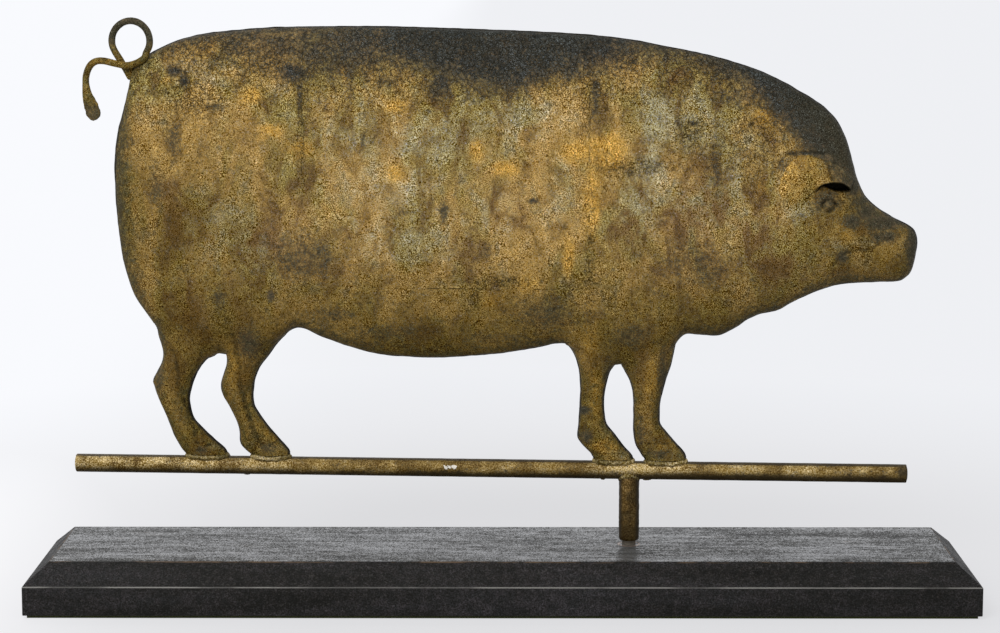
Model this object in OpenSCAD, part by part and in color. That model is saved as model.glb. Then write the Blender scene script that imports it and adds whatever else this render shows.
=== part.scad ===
// Pig weathervane on a bevelled wooden display base.
// Sheet copper shells, soldered in two halves, stand on a crossbar whose socket turns on a steel spindle.
// The frame: +X towards the snout, -Y towards the side that is looked at, +Z up, origin under the base.

/* [Base] */
// Length of the base board at its foot
base_len = 955; // [900:5:1100]
// Depth of the base board at its foot
base_depth = 210; // [170:5:280]
// Height of the base board alone
base_h = 50; // [44:1:70]
// How far the bevel runs in from each side
bevel_run = 24; // [10:1:36]
// How far the bevel drops from the top face
bevel_drop = 21; // [10:1:28]
// Thickness of the felt under the board
felt_t = 3; // [2:0.5:5]
// How far the felt stays inside the board's edge
felt_inset = 4; // [2:1:20]

/* [Spindle] */
// Distance of the spindle from the middle of the base, towards the snout
spindle_x = 130; // [60:5:200]
// Diameter of the spindle that the socket turns on
spindle_d = 14.3; // [12:0.1:14.8]
// Diameter of the threaded stud below the spindle's shoulder
stud_d = 10; // [8:0.5:11]
// Width of the spindle nut across its flats
nut_af = 17; // [16:0.5:20]
// Height of the spindle nut
nut_h = 8; // [6:0.5:10]
// Outer diameter of the washer over the nut
washer_d = 26; // [22:1:30]
// Thickness of the washer
washer_t = 2; // [1:0.5:3]

/* [Crossbar and socket] */
// Height of the crossbar's centre line above the board
crossbar_rise = 77.5; // [60:0.5:110]
// Outer diameter of the crossbar tube
crossbar_d = 19.05; // [16:0.05:22]
// Wall of the crossbar tube
crossbar_wall = 1.65; // [1:0.05:2.5]
// Reach of the crossbar behind the spindle
crossbar_back = 574; // [540:1:620]
// Reach of the crossbar in front of the spindle
crossbar_front = 282; // [200:1:320]
// Length of the plugs in the crossbar's ends
plug_len = 10; // [5:1:20]
// Outer diameter of the socket tube
socket_d = 21.3; // [20.5:0.1:26]
// Running clearance between socket bore and spindle, on the radius
socket_play = 0.75; // [0.3:0.05:1.2]
// Clear height between the socket's foot and the board
socket_gap = 5; // [3:0.5:8]
// Chamfer round the socket's foot
socket_chamfer = 2; // [1:0.25:2.5]
// Turn of the vane as it stands, snout towards the viewer
rest_turn = 3.7; // [0:0.1:10]

/* [Pig] */
// Length of the pig from rump to snout
pig_len = 816; // [760:1:840]
// Half thickness of the swelled body
swell = 38; // [30:1:46]
// Thickness of the copper sheet
sheet_t = 1; // [0.8:0.1:1.4]
// Greatest half thickness of a leg below the hock
leg_half = 12.5; // [10:0.5:14]
// Height of the solder between crossbar and hoof
sole_t = 2.4; // [1.5:0.1:4]
// How far the open lip of the ear stands off the head
ear_lift = 12; // [8:0.5:15]

/* [Tail] */
// Diameter of the tail wire
tail_d = 7.2; // [5:0.1:8]
// Diameter of the tail's loop on its centre line
loop_d = 40.8; // [36:0.2:44]
// Width of the hammered tail tip
tip_w = 15; // [8:0.5:16]

/* [Hidden] */
$fn = 64;

// Running and seating clearances
tip_gap = 0.3;
seat_gap = 0.2;
stud_gap = 0.5;
well_gap = 2;
eps = 0.01;

board_top = felt_t + base_h;
crossbar_z = board_top + crossbar_rise;
crossbar_r = crossbar_d / 2;
spindle_r = spindle_d / 2;
socket_r = socket_d / 2;
socket_bore_r = spindle_r + socket_play;
spindle_top = crossbar_z - crossbar_r - tip_gap;
socket_foot = board_top + socket_gap;
sole_z = crossbar_z + crossbar_r + sole_t;
well_r = washer_d / 2 + well_gap;
well_h = washer_t + nut_h + well_gap;
well_top = felt_t + well_h;

// The pig is drawn in its own plane: x from the spindle's axis, z up from the soles of the hooves.
// The drawn size is 816 long, and all_fit brings the lists to the length that is asked for.
drawn_len = 816;
fit = pig_len / drawn_len;
function all_fit(p) = [for (q = p) q * fit];

// Back line, from the rearmost point of the rump over the tail root to the tip of the snout
back_line = all_fit([[-528, 286], [-527, 313], [-523, 336], [-516, 360], [-510.5, 383], [-508.5, 394],
    [-503.5, 402], [-494.5, 408.5], [-482, 416], [-462, 425], [-435, 432], [-400, 436], [-360, 439],
    [-305, 440], [-240, 440], [-173, 438], [-114, 436], [-55, 433], [-5, 428], [33, 421], [78, 412],
    [122, 399], [151, 386], [167, 377], [184, 367], [198, 356], [208, 343], [216, 326], [222, 305],
    [226, 291], [234, 273], [246, 261], [262, 251], [279, 242], [286, 235], [288, 225]]);
// Under line in three stretches, with the legs between them
rump_line = all_fit([[-528, 286], [-527, 258], [-525, 236], [-521, 203], [-515, 180], [-509, 164], [-500, 151],
    [-489, 135]]);
belly_line = all_fit([[-352, 127], [-346, 131], [-340, 132.5], [-332, 131], [-322, 126], [-304, 119],
    [-283, 112], [-258, 106], [-235, 104], [-194, 103], [-133, 108], [-92, 115], [-78, 118.5], [-66, 119]]);
chest_line = all_fit([[46, 119], [52, 127], [58, 130], [68, 129.5], [87, 128.5], [97, 131.5], [110, 139],
    [118, 145], [131, 151], [149, 155], [161, 162], [175, 169], [191, 176], [211, 182], [231, 184], [251, 185],
    [268, 185.5], [276, 189], [282, 196], [286, 210], [288, 225]]);

// Each leg: back edge and front edge as [height, x] from the sole up into the body,
// the height where each edge meets the body, and the rise of the joint line between them.
LEG_BACK = 0;
LEG_FRONT = 1;
LEG_JOINT = 2;
LEG_ARCH = 3;
hind_leg_back = [
    all_fit([[0, -459], [5.5, -463.5], [18, -470.5], [38, -478], [56, -486], [71, -491], [76, -492],
        [87, -486.5], [96, -482], [106, -481], [122, -485], [135, -489], [164, -509], [203, -521],
        [236, -525]]),
    all_fit([[0, -415], [6, -418.5], [15, -429], [27, -441.5], [38, -450.5], [53, -454], [65, -453], [78, -449],
        [91, -442], [101, -433], [105, -424], [130, -408], [170, -400], [236, -402]]),
    [135, 105] * fit, 9 * fit];
hind_leg_front = [
    all_fit([[0, -391], [6, -398], [12, -402], [24, -402.5], [35, -405.5], [49.5, -412.5], [62, -419.5],
        [73, -421], [84, -418], [95, -414.5], [104, -415], [130, -418], [170, -420], [236, -415]]),
    all_fit([[0, -350], [6, -352], [16, -361], [30, -373], [46, -384], [55, -387.5], [71.5, -387], [88, -382.5],
        [100, -374], [117, -361.5], [127, -352], [150, -338], [190, -330], [236, -330]]),
    [104, 127] * fit, 7 * fit];
foreleg_back = [
    all_fit([[0, -37], [5, -39], [13, -47], [22, -53], [36, -52], [54, -51], [74, -50.5], [93, -52], [106, -56],
        [115, -61], [119, -66], [140, -72], [180, -78], [236, -75]]),
    all_fit([[0, 4.5], [6, 1], [13.5, -6.5], [25, -15], [35, -23], [45, -25.5], [61, -26.5], [78, -24],
        [90, -20.5], [97, -16], [120, -8], [170, 0], [236, 0]]),
    [119, 97] * fit, 12 * fit];
foreleg_front = [
    all_fit([[0, 15.5], [8, 10.5], [16.5, 6], [32, 4], [47, 4], [66.5, 3.5], [80, 0.5], [92, -5.5], [98, -9],
        [120, -15], [170, -18], [236, -15]]),
    all_fit([[0, 58.5], [7, 56], [17, 47.5], [29, 37], [37.5, 31], [48, 30.5], [61.5, 31.5], [80.5, 36],
        [99, 42], [119, 46], [150, 52], [190, 60], [236, 62]]),
    [98, 119] * fit, 9 * fit];
legs = [hind_leg_back, hind_leg_front, foreleg_back, foreleg_front];

// Heights between which a leg's muscle fades into the body
muscle_low = 130 * fit;
muscle_high = 236 * fit;
// Half thickness of a leg over its half width, and what the ham and the shoulder add to its limit
leg_round = 0.88;
muscle_extra = 8;
hock_low = 60 * fit;

// Seams between the sheets of one side
hind_seam = -330 * fit;
fore_seam = -41 * fit;
belly_seam = 178 * fit;
// Where the columns of the fore sheet change their spacing
chest_x = 60 * fit;
brow_x = 200 * fit;
muzzle_x = 238 * fit;

rump_x = back_line[0].x;
snout_x = back_line[len(back_line) - 1].x;
// The outline is upright at both ends, so the first and last columns stand this far inside it
end_trim = 0.6;
rump_round = 120 * fit;
snout_round = 22 * fit;
// Half thickness along the body as a share of the swell, as [x, share]
girth_line = [for (q = [[-540, 0.8], [-470, 0.95], [-400, 1], [-200, 1], [0, 1], [90, 0.93], [160, 0.83],
    [215, 0.68], [250, 0.57], [300, 0.5]]) [q.x * fit, q.y]];
section_power = 2.2;
blend_power = 2.5;
// The swellings fade out where the body is thinner than this
dressing_fade = 20;
// Hammered swellings and hollows: [x, z, half width, half height, rise]
dressings = [for (q = [[-432, 215, 75, 85, 4], [8, 215, 62, 90, 4], [135, 215, 50, 45, 4],
    [188, 300, 26, 22, 3], [-290, 250, 55, 100, -2], [96, 320, 30, 70, -2.5], [232, 226, 26, 22, 2],
    [262, 222, 14, 20, 2]])
    [q[0] * fit, q[1] * fit, q[2] * fit, q[3] * fit, q[4]]];

// Smooth curve through hand placed points, and the second coordinate where the first one is v
function curve_point(p, i, t) =
    let (a = p[max(i - 1, 0)], b = p[i], c = p[i + 1], d = p[min(i + 2, len(p) - 1)])
    0.5 * (2 * b + (c - a) * t + (2 * a - 5 * b + 4 * c - d) * t * t + (3 * b - a - 3 * c + d) * t * t * t);
function curve_near(p, i, v, lo, hi, n) =
    let (m = (lo + hi) / 2, q = curve_point(p, i, m))
    n == 0 ? q.y : q.x < v ? curve_near(p, i, v, m, hi, n - 1) : curve_near(p, i, v, lo, m, n - 1);
function curve_at(p, v, i = 0) =
    i < len(p) - 2 && v > p[i + 1].x ? curve_at(p, v, i + 1) : curve_near(p, i, v, 0, 1, 14);
function between(v, lo, hi) = max(0, min(1, (v - lo) / (hi - lo)));
function soft_step(v, lo, hi) = let (t = between(v, lo, hi)) t * t * (3 - 2 * t);
function round_end(d, r) = sqrt(max(0, 1 - pow(1 - between(d, 0, r), 2)));

// The joint line on top of a leg, from its back edge to its front edge
function joint_start(leg) = [curve_at(leg[LEG_BACK], leg[LEG_JOINT][0]), leg[LEG_JOINT][0]];
function joint_end(leg) = [curve_at(leg[LEG_FRONT], leg[LEG_JOINT][1]), leg[LEG_JOINT][1]];
function joint_point(leg, s) =
    let (a = joint_start(leg), b = joint_end(leg)) a + (b - a) * s + [0, leg[LEG_ARCH] * 4 * s * (1 - s)];

// Underside of the body shell at x: joint lines over the legs and the drawn lines between them
function under_chord(a, b, x) = a.y + (b.y - a.y) * (x - a.x) / (b.x - a.x);
function under_joint(leg, x) =
    let (a = joint_start(leg), b = joint_end(leg)) joint_point(leg, (x - a.x) / (b.x - a.x)).y;
function body_under(x) =
    x <= joint_start(hind_leg_back).x ? curve_at(rump_line, x) :
    x <= joint_end(hind_leg_back).x ? under_joint(hind_leg_back, x) :
    x < joint_start(hind_leg_front).x ? under_chord(joint_end(hind_leg_back), joint_start(hind_leg_front), x) :
    x <= joint_end(hind_leg_front).x ? under_joint(hind_leg_front, x) :
    x < joint_start(foreleg_back).x ? curve_at(belly_line, x) :
    x <= joint_end(foreleg_back).x ? under_joint(foreleg_back, x) :
    x < joint_start(foreleg_front).x ? under_chord(joint_end(foreleg_back), joint_start(foreleg_front), x) :
    x <= joint_end(foreleg_front).x ? under_joint(foreleg_front, x) : curve_at(chest_line, x);
function body_over(x) = curve_at(back_line, x);

// Half thickness of the pig at (x, z): the swelled body and the legs, blended, and dressed with swellings.
// span holds the body's lowest and highest point at x.
function body_bulge(x, z, span) =
    let (half = (span[1] - span[0]) / 2, s = abs(z - span[0] - half) / half)
    s >= 1 ? 0 : swell * curve_at(girth_line, x) * pow(1 - pow(s, section_power), 1 / section_power)
        * round_end(x - rump_x - end_trim, rump_round) * round_end(snout_x - end_trim - x, snout_round);
function leg_bulge(leg, x, z) =
    z >= muscle_high ? 0 :
    let (b = curve_at(leg[LEG_BACK], z), f = curve_at(leg[LEG_FRONT], z), s = (2 * x - b - f) / (f - b))
    abs(s) >= 1 ? 0 : min(leg_round * (f - b) / 2, leg_half + muscle_extra * soft_step(z, hock_low, muscle_low))
        * sqrt(1 - s * s) * (1 - soft_step(z, muscle_low, muscle_high));
function dressing(x, z) =
    [for (q = dressings) q[4] * exp(-pow((x - q[0]) / q[2], 2) - pow((z - q[1]) / q[3], 2))];
function sum(v, i = 0) = i < len(v) ? v[i] + sum(v, i + 1) : 0;
function half_thickness(x, z, span) =
    let (body = body_bulge(x, z, span), muscles = [for (leg = legs) pow(leg_bulge(leg, x, z), blend_power)])
    pow(pow(body, blend_power) + sum(muscles), 1 / blend_power)
        + sum(dressing(x, z)) * between(body, 0, dressing_fade);

// Inner face of the sheet under an outer half thickness
function inside(h) = h - min(sheet_t, h / 2);

// A closed sheet between two equal grids of points, outer and inner
function sheet_index(n, side, count, i, j) = side * count + i * n + j;
module sheet(outer, inner) {
    m = len(outer);
    n = len(outer[0]);
    count = m * n;
    loop = concat([for (i = [0:m - 1]) [i, 0]], [for (j = [1:n - 1]) [m - 1, j]],
        [for (i = [m - 2:-1:0]) [i, n - 1]], [for (j = [n - 2:-1:1]) [0, j]]);
    function at(side, q) = sheet_index(n, side, count, q.x, q.y);
    faces = concat(
        [for (i = [0:m - 2], j = [0:n - 2], half = [0, 1])
            half == 0 ? [at(0, [i, j]), at(0, [i, j + 1]), at(0, [i + 1, j + 1])]
                : [at(0, [i, j]), at(0, [i + 1, j + 1]), at(0, [i + 1, j])]],
        [for (i = [0:m - 2], j = [0:n - 2], half = [0, 1])
            half == 0 ? [at(1, [i, j]), at(1, [i + 1, j + 1]), at(1, [i, j + 1])]
                : [at(1, [i, j]), at(1, [i + 1, j]), at(1, [i + 1, j + 1])]],
        [for (k = [0:len(loop) - 1], half = [0, 1])
            let (a = loop[k], b = loop[(k + 1) % len(loop)])
            half == 0 ? [at(0, a), at(0, b), at(1, b)] : [at(0, a), at(1, b), at(1, a)]]);
    polyhedron(points = concat([for (c = outer, q = c) q], [for (c = inner, q = c) q]), faces = faces);
}

// Columns of the body shell. A stretch is [from, to, number of columns, crowding towards its start or end].
rump_columns = 6;
EVEN = 0;
AT_START = 1;
AT_END = 2;
crowding = 1.5;
function stretch(a, b, n, crowd = EVEN) =
    [for (i = [0:n - 1]) let (t = i / n)
        a + (b - a) * (crowd == AT_START ? pow(t, crowding) : crowd == AT_END ? 1 - pow(1 - t, crowding) : t)];
function hind_columns() = concat(
    stretch(rump_x + end_trim, joint_start(hind_leg_back).x, rump_columns, AT_START),
    stretch(joint_start(hind_leg_back).x, joint_end(hind_leg_back).x, 5),
    stretch(joint_end(hind_leg_back).x, joint_start(hind_leg_front).x, 1),
    stretch(joint_start(hind_leg_front).x, joint_end(hind_leg_front).x, 5),
    stretch(joint_end(hind_leg_front).x, hind_seam, 2), [hind_seam]);
function middle_columns() = concat(
    stretch(hind_seam, joint_start(foreleg_back).x, 14), stretch(joint_start(foreleg_back).x, fore_seam, 2),
    [fore_seam]);
function fore_columns() = concat(
    stretch(fore_seam, joint_end(foreleg_back).x, 2),
    stretch(joint_end(foreleg_back).x, joint_start(foreleg_front).x, 1),
    stretch(joint_start(foreleg_front).x, joint_end(foreleg_front).x, 5),
    stretch(joint_end(foreleg_front).x, chest_x, 2), stretch(chest_x, brow_x, 10),
    stretch(brow_x, muzzle_x, 4), stretch(muzzle_x, snout_x - end_trim, 8, AT_END), [snout_x - end_trim]);

// Heights of one column, crowded where the sheet rolls over to the seam with the other half.
// The short columns at the rump and the snout are evenly spaced.
WHOLE = 0;
UPPER = 1;
LOWER = 2;
short_column = 60 * fit;
tall_column = 160 * fit;
function column_z(span, part, n) =
    [for (j = [0:n]) let (t = j / n, tall = between(span[1] - span[0], short_column, tall_column))
        part == WHOLE ? span[0] + (span[1] - span[0]) * (t + (0.5 - t - 0.5 * cos(180 * t)) * tall) :
        part == UPPER ? belly_seam + (span[1] - belly_seam) * sin(90 * t) :
        span[0] + (belly_seam - span[0]) * (1 - cos(90 * t))];
// The inner face stays one sheet inside the outline: along z everywhere, along x at the rump and the snout
rump_roll = 60 * fit;
snout_roll = 40 * fit;
function inner_x(x) = x + sheet_t * (1 - between(x - rump_x, 0, rump_roll))
    - sheet_t * (1 - between(snout_x - x, 0, snout_roll));
function inner_z(z, span) = let (mid = (span[0] + span[1]) / 2, half = span[1] - mid)
    mid + (z - mid) * max(0.5, 1 - sheet_t / half);

module body_sheet(columns, part, n) {
    spans = [for (x = columns) [body_under(x), body_over(x)]];
    grid = [for (i = [0:len(columns) - 1]) [for (z = column_z(spans[i], part, n))
        [columns[i], z, half_thickness(columns[i], z, spans[i])]]];
    outer = [for (c = grid) [for (q = c) [q[0], -q[2], q[1]]]];
    inner = [for (i = [0:len(grid) - 1]) [for (q = grid[i])
        [inner_x(q[0]), -inside(q[2]), inner_z(q[1], spans[i])]]];
    sheet(outer, inner);
}

// One half of a leg, as rungs from the joint line down to the sole
module leg_sheet(leg, rungs = 12, across = 8) {
    grid = [for (i = [0:rungs]) let (t = 1 - i / rungs,
            b = [curve_at(leg[LEG_BACK], leg[LEG_JOINT][0] * t), leg[LEG_JOINT][0] * t],
            f = [curve_at(leg[LEG_FRONT], leg[LEG_JOINT][1] * t), leg[LEG_JOINT][1] * t],
            half = (f.x - b.x) / 2)
        [for (j = [0:across]) let (s = (1 - cos(180 * j / across)) / 2,
                q = b + (f - b) * s + [0, leg[LEG_ARCH] * 4 * s * (1 - s) * pow(t, 3)],
                edge = j == 0 || j == across)
            [q.x, q.y, edge ? 0 : half_thickness(q.x, q.y, [body_under(q.x), body_over(q.x)]),
                b.x + half + (q.x - b.x - half) * (1 - sheet_t / half)]]];
    outer = [for (c = grid) [for (q = c) [q[0], -q[2], q[1]]]];
    inner = [for (c = grid) [for (q = c) [q[3], -inside(q[2]), q[1]]]];
    sheet(outer, inner);
}

// The ear is a hood, soldered on along its upper edge and open forwards and down.
// Each rung is [point on the soldered edge, point on the lower lip, share of the lip's lift there].
ear_rungs = [for (q = [[[144, 283], [147, 272], 0], [[149, 296], [151, 266], 0], [[156, 307], [158, 263], 0],
    [[166, 314], [167, 265], 0.08], [[178, 315], [176, 272], 0.25], [[190, 311], [187, 280], 0.6],
    [[201, 307], [197, 286], 0.9], [[210, 303], [206, 287], 1], [[218, 297], [213, 284], 0.85],
    [[223, 290], [219, 281], 0.4]]) [q[0] * fit, q[1] * fit, q[2]]];
ear_dome = 5;
module ear(across = 6) {
    last = len(ear_rungs) - 1;
    grid = [for (i = [0:last]) let (r = ear_rungs[i])
        [for (j = [0:across]) let (t = j / across, p = r[0] + (r[1] - r[0]) * t,
                h = half_thickness(p.x, p.y, [body_under(p.x), body_over(p.x)]),
                dome = ear_dome * sin(180 * t) * sin(180 * i / last))
            [p.x, p.y, h + seat_gap + ear_lift * r[2] * t * t + dome]]];
    outer = [for (c = grid) [for (j = [across:-1:0]) [c[j][0], -c[j][2] - sheet_t, c[j][1]]]];
    inner = [for (c = grid) [for (j = [across:-1:0]) [c[j][0], -c[j][2], c[j][1]]]];
    sheet(outer, inner);
}

// The tail is butted on the rump's top corner, runs once round its loop in front of its own root, and hangs
// behind the rump. A station is [centre, half width in the pig's plane, half thickness across it].
corner_columns = [rump_columns - 3, rump_columns - 2];
corner = [for (i = corner_columns) let (x = hind_columns()[i]) [x, body_over(x)]];
seat_share = 0.55;
seat_along = corner[1] - corner[0];
seat_out = [-seat_along.y, seat_along.x] / norm(seat_along);
tail_root = corner[0] + seat_along * seat_share + seat_out * seat_gap;
tail_r = tail_d / 2;
loop_r = loop_d / 2;
loop_foot = [-508, 404.5] * fit;
loop_mid = loop_foot + [0, loop_r];
// The loop clears the rump's rolled edge by its front offset, the crossing clears the root
loop_front = tail_d + 2.4;
cross_front = tail_d + 0.5;
loop_from = 205;
loop_to = -35;
loop_steps = 10;
// Between these turns the loop swings forward to its front offset
swing_from = 150;
swing_to = -5;
function tail_at(p, front, wide = tail_r, thick = tail_r) = [[p.x, -front, p.y], wide, thick];
loop_entry = loop_mid + loop_r * [cos(loop_from), sin(loop_from)];
// The butt end is cut parallel to the rump's edge, so it is wider than the wire
butt_wide = tail_r * norm(loop_entry - tail_root) / ((loop_entry - tail_root) * seat_out);
tail_stations = concat(
    [for (t = [0, 1 / 2]) tail_at(tail_root + (loop_entry - tail_root) * t, 0)],
    [for (i = [0:loop_steps]) let (a = loop_from + (loop_to - loop_from) * i / loop_steps)
        tail_at(loop_mid + loop_r * [cos(a), sin(a)], loop_front * soft_step(-a, -swing_from, -swing_to))],
    [tail_at([-493.7, 407.8] * fit, loop_front), tail_at([-501.5, 402.9] * fit, loop_front),
        tail_at([-512, 400.4] * fit, cross_front + 0.8), tail_at([-524, 402.3] * fit, cross_front),
        tail_at([-535, 404.8] * fit, cross_front), tail_at([-543.5, 404.4] * fit, cross_front),
        tail_at([-550, 399.7] * fit, cross_front - 1), tail_at([-553.8, 391] * fit, cross_front - 1),
        tail_at([-554.6, 382] * fit, cross_front - 1),
        tail_at([-553.4, 371] * fit, cross_front - 1, tip_w * 0.36, tail_r * 0.72),
        tail_at([-550.8, 362] * fit, cross_front - 1, tip_w * 0.47, tail_r * 0.55),
        tail_at([-547.8, 352] * fit, cross_front - 1, tip_w * 0.5, tail_r * 0.45),
        tail_at([-547, 344.5] * fit, cross_front - 1, tip_w * 0.32, tail_r * 0.42)]);
module tail(sides = 10, parts = 3) {
    n = len(tail_stations) - 1;
    at = [for (i = [0:n - 1], k = [0:parts - 1]) [i, k / parts]];
    centres = [for (s = tail_stations) s[0]];
    widths = [for (s = tail_stations) [s[1], s[2]]];
    mids = concat([for (q = at) curve_point(centres, q[0], q[1])], [centres[n]]);
    halves = concat([for (q = at) curve_point(widths, q[0], q[1])], [widths[n]]);
    last = len(mids) - 1;
    points = [for (i = [0:last]) let (d = mids[min(i + 1, last)] - mids[max(i - 1, 0)],
            way = i == 0 ? [seat_out.x, 0, seat_out.y] : d / norm(d),
            side = cross(way, [0, -1, 0]), across = side / norm(side), front = cross(across, way),
            wide = i == 0 ? butt_wide : halves[i].x)
        for (k = [0:sides - 1]) let (a = 360 * k / sides)
            mids[i] + across * wide * cos(a) + front * halves[i].y * sin(a)];
    faces = concat([[for (k = [0:sides - 1]) k]], [[for (k = [sides - 1:-1:0]) last * sides + k]],
        [for (i = [0:last - 1], k = [0:sides - 1], half = [0, 1]) let (a = i * sides + k,
                b = i * sides + (k + 1) % sides)
            half == 0 ? [a, a + sides, b + sides] : [a, b + sides, b]]);
    polyhedron(points = points, faces = faces);
}

// Stand
module board_profile(w) {
    polygon([[-w / 2, 0], [w / 2, 0], [w / 2, base_h - bevel_drop], [w / 2 - bevel_run, base_h],
        [bevel_run - w / 2, base_h], [-w / 2, base_h - bevel_drop]]);
}
module base_board() {
    color("#23241f") difference() {
        translate([0, 0, felt_t]) intersection() {
            translate([0, base_depth / 2, 0]) rotate([90, 0, 0])
                linear_extrude(base_depth) board_profile(base_len);
            translate([-base_len / 2, 0, 0]) rotate([90, 0, 90])
                linear_extrude(base_len) board_profile(base_depth);
        }
        translate([spindle_x, 0, 0]) {
            cylinder(h = board_top + eps, r = stud_d / 2 + stud_gap);
            cylinder(h = well_top, r = well_r);
        }
    }
}
module base_felt() {
    color("#2c2d22") translate([felt_inset - base_len / 2, felt_inset - base_depth / 2, 0])
        cube([base_len - 2 * felt_inset, base_depth - 2 * felt_inset, felt_t]);
}
nut_top = well_top - washer_t;
nut_foot = nut_top - nut_h;
tip_round = spindle_r * 0.6;
module spindle() {
    color("#4a463d") translate([spindle_x, 0, 0]) rotate_extrude() polygon(concat(
        [[0, nut_foot], [stud_d / 2, nut_foot], [stud_d / 2, board_top], [spindle_r, board_top]],
        [for (a = [0:15:90]) [spindle_r * cos(a), spindle_top - tip_round + tip_round * sin(a)]]));
}
module spindle_washer() {
    color("#8f8f8a") translate([spindle_x, 0, nut_top]) difference() {
        cylinder(h = washer_t, d = washer_d);
        translate([0, 0, -eps]) cylinder(h = washer_t + 2 * eps, r = stud_d / 2 + stud_gap);
    }
}
module spindle_nut() {
    color("#8f8f8a") translate([spindle_x, 0, nut_foot]) difference() {
        cylinder(h = nut_h, d = nut_af / cos(30), $fn = 6);
        translate([0, 0, -eps]) cylinder(h = nut_h + 2 * eps, d = stud_d);
    }
}

// Crossbar and socket, in the vane's own plane
module bar_room(r = crossbar_r) {
    translate([-crossbar_back, 0, crossbar_z]) rotate([0, 90, 0])
        cylinder(h = crossbar_back + crossbar_front, r = r);
}
bar_bore_r = crossbar_r - crossbar_wall;
module crossbar() {
    color("#8c7a45") on_vane() difference() {
        bar_room();
        translate([-crossbar_back - eps, 0, crossbar_z]) rotate([0, 90, 0])
            cylinder(h = crossbar_back + crossbar_front + 2 * eps, r = bar_bore_r);
    }
}
plug_crown = 1.2;
module plug() {
    rotate_extrude() polygon([[0, 0], [bar_bore_r, 0], [bar_bore_r, plug_len],
        [crossbar_r - plug_crown, plug_len], [bar_bore_r - plug_crown, plug_len + plug_crown],
        [0, plug_len + plug_crown]]);
}
module crossbar_plugs() {
    color("#5d5743") on_vane() {
        translate([crossbar_front - plug_len, 0, crossbar_z]) rotate([0, 90, 0]) plug();
        translate([plug_len - crossbar_back, 0, crossbar_z]) rotate([0, -90, 0]) plug();
    }
}
// The socket tube is coped to the crossbar and reaches this far up its sides
cope_top = crossbar_z - crossbar_r * 0.4;
module socket() {
    color("#80692f") on_vane() difference() {
        rotate_extrude() polygon([[socket_bore_r, socket_foot], [socket_r - socket_chamfer / 2, socket_foot],
            [socket_r, socket_foot + socket_chamfer], [socket_r, cope_top], [socket_bore_r, cope_top]]);
        bar_room();
    }
}
fillet_w = 3;
fillet_h = 4;
module tee_solder() {
    fillet_low = crossbar_z - crossbar_r - fillet_h;
    color("#968a56") on_vane() difference() {
        intersection() {
            rotate_extrude() polygon([[socket_r, fillet_low],
                [socket_r + fillet_w * 0.3, fillet_low + fillet_h * 0.6],
                [socket_r + fillet_w, fillet_low + fillet_h], [socket_r + fillet_w, cope_top],
                [socket_r, cope_top]]);
            bar_room(crossbar_r + fillet_w);
        }
        bar_room();
    }
}
// Solder saddles between the crossbar and the hooves
saddle_low = crossbar_z + crossbar_r * 0.45;
saddle_over = 3;
saddle_inset = 1.5;
module foot_solder() {
    half = leg_half - saddle_inset;
    color("#a39a63") on_vane() difference() {
        for (leg = legs) let (a = leg[LEG_BACK][0].y - saddle_over, b = leg[LEG_FRONT][0].y + saddle_over)
            translate([0, 0, saddle_low]) linear_extrude(sole_z - saddle_low) union() {
                translate([a + half, 0]) circle(r = half);
                translate([b - half, 0]) circle(r = half);
                translate([a + half, -half]) square([b - a - 2 * half, 2 * half]);
            }
        bar_room();
    }
}

module hindquarter() {
    body_sheet(hind_columns(), WHOLE, 14);
}
module flank() {
    body_sheet(middle_columns(), UPPER, 9);
}
module belly() {
    body_sheet(middle_columns(), LOWER, 5);
}
module forequarter() {
    body_sheet(fore_columns(), WHOLE, 14);
}

// Turn from the pig's own plane to the vane on the spindle, and its far side
module on_vane() {
    translate([spindle_x, 0, 0]) rotate([0, 0, -rest_turn]) children();
}
module near_side() {
    on_vane() translate([0, 0, sole_z]) children();
}
module far_side() {
    on_vane() translate([0, 0, sole_z]) mirror([0, 1, 0]) children();
}

base_board();
base_felt();
spindle();
spindle_washer();
spindle_nut();
crossbar();
crossbar_plugs();
socket();
tee_solder();
foot_solder();
color("#8a7637") near_side() hindquarter();  // near_hindquarter
color("#8f7b3c") near_side() flank();  // near_flank
color("#86702f") near_side() belly();  // near_belly
color("#7f7138") near_side() forequarter();  // near_forequarter
color("#6f6a3c") near_side() ear();  // near_ear
color("#8a7637") far_side() hindquarter();  // far_hindquarter
color("#8f7b3c") far_side() flank();  // far_flank
color("#86702f") far_side() belly();  // far_belly
color("#7f7138") far_side() forequarter();  // far_forequarter
color("#6f6a3c") far_side() ear();  // far_ear
color("#776427") near_side() leg_sheet(hind_leg_back);  // hind_leg_back_near
color("#776427") far_side() leg_sheet(hind_leg_back);  // hind_leg_back_far
color("#776427") near_side() leg_sheet(hind_leg_front);  // hind_leg_front_near
color("#776427") far_side() leg_sheet(hind_leg_front);  // hind_leg_front_far
color("#776427") near_side() leg_sheet(foreleg_back);  // foreleg_back_near
color("#776427") far_side() leg_sheet(foreleg_back);  // foreleg_back_far
color("#776427") near_side() leg_sheet(foreleg_front);  // foreleg_front_near
color("#776427") far_side() leg_sheet(foreleg_front);  // foreleg_front_far
color("#8c7a45") near_side() tail();
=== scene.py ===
"""Pig weathervane in weathered sheet copper, turning on a spindle in a black painted display base."""

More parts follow.
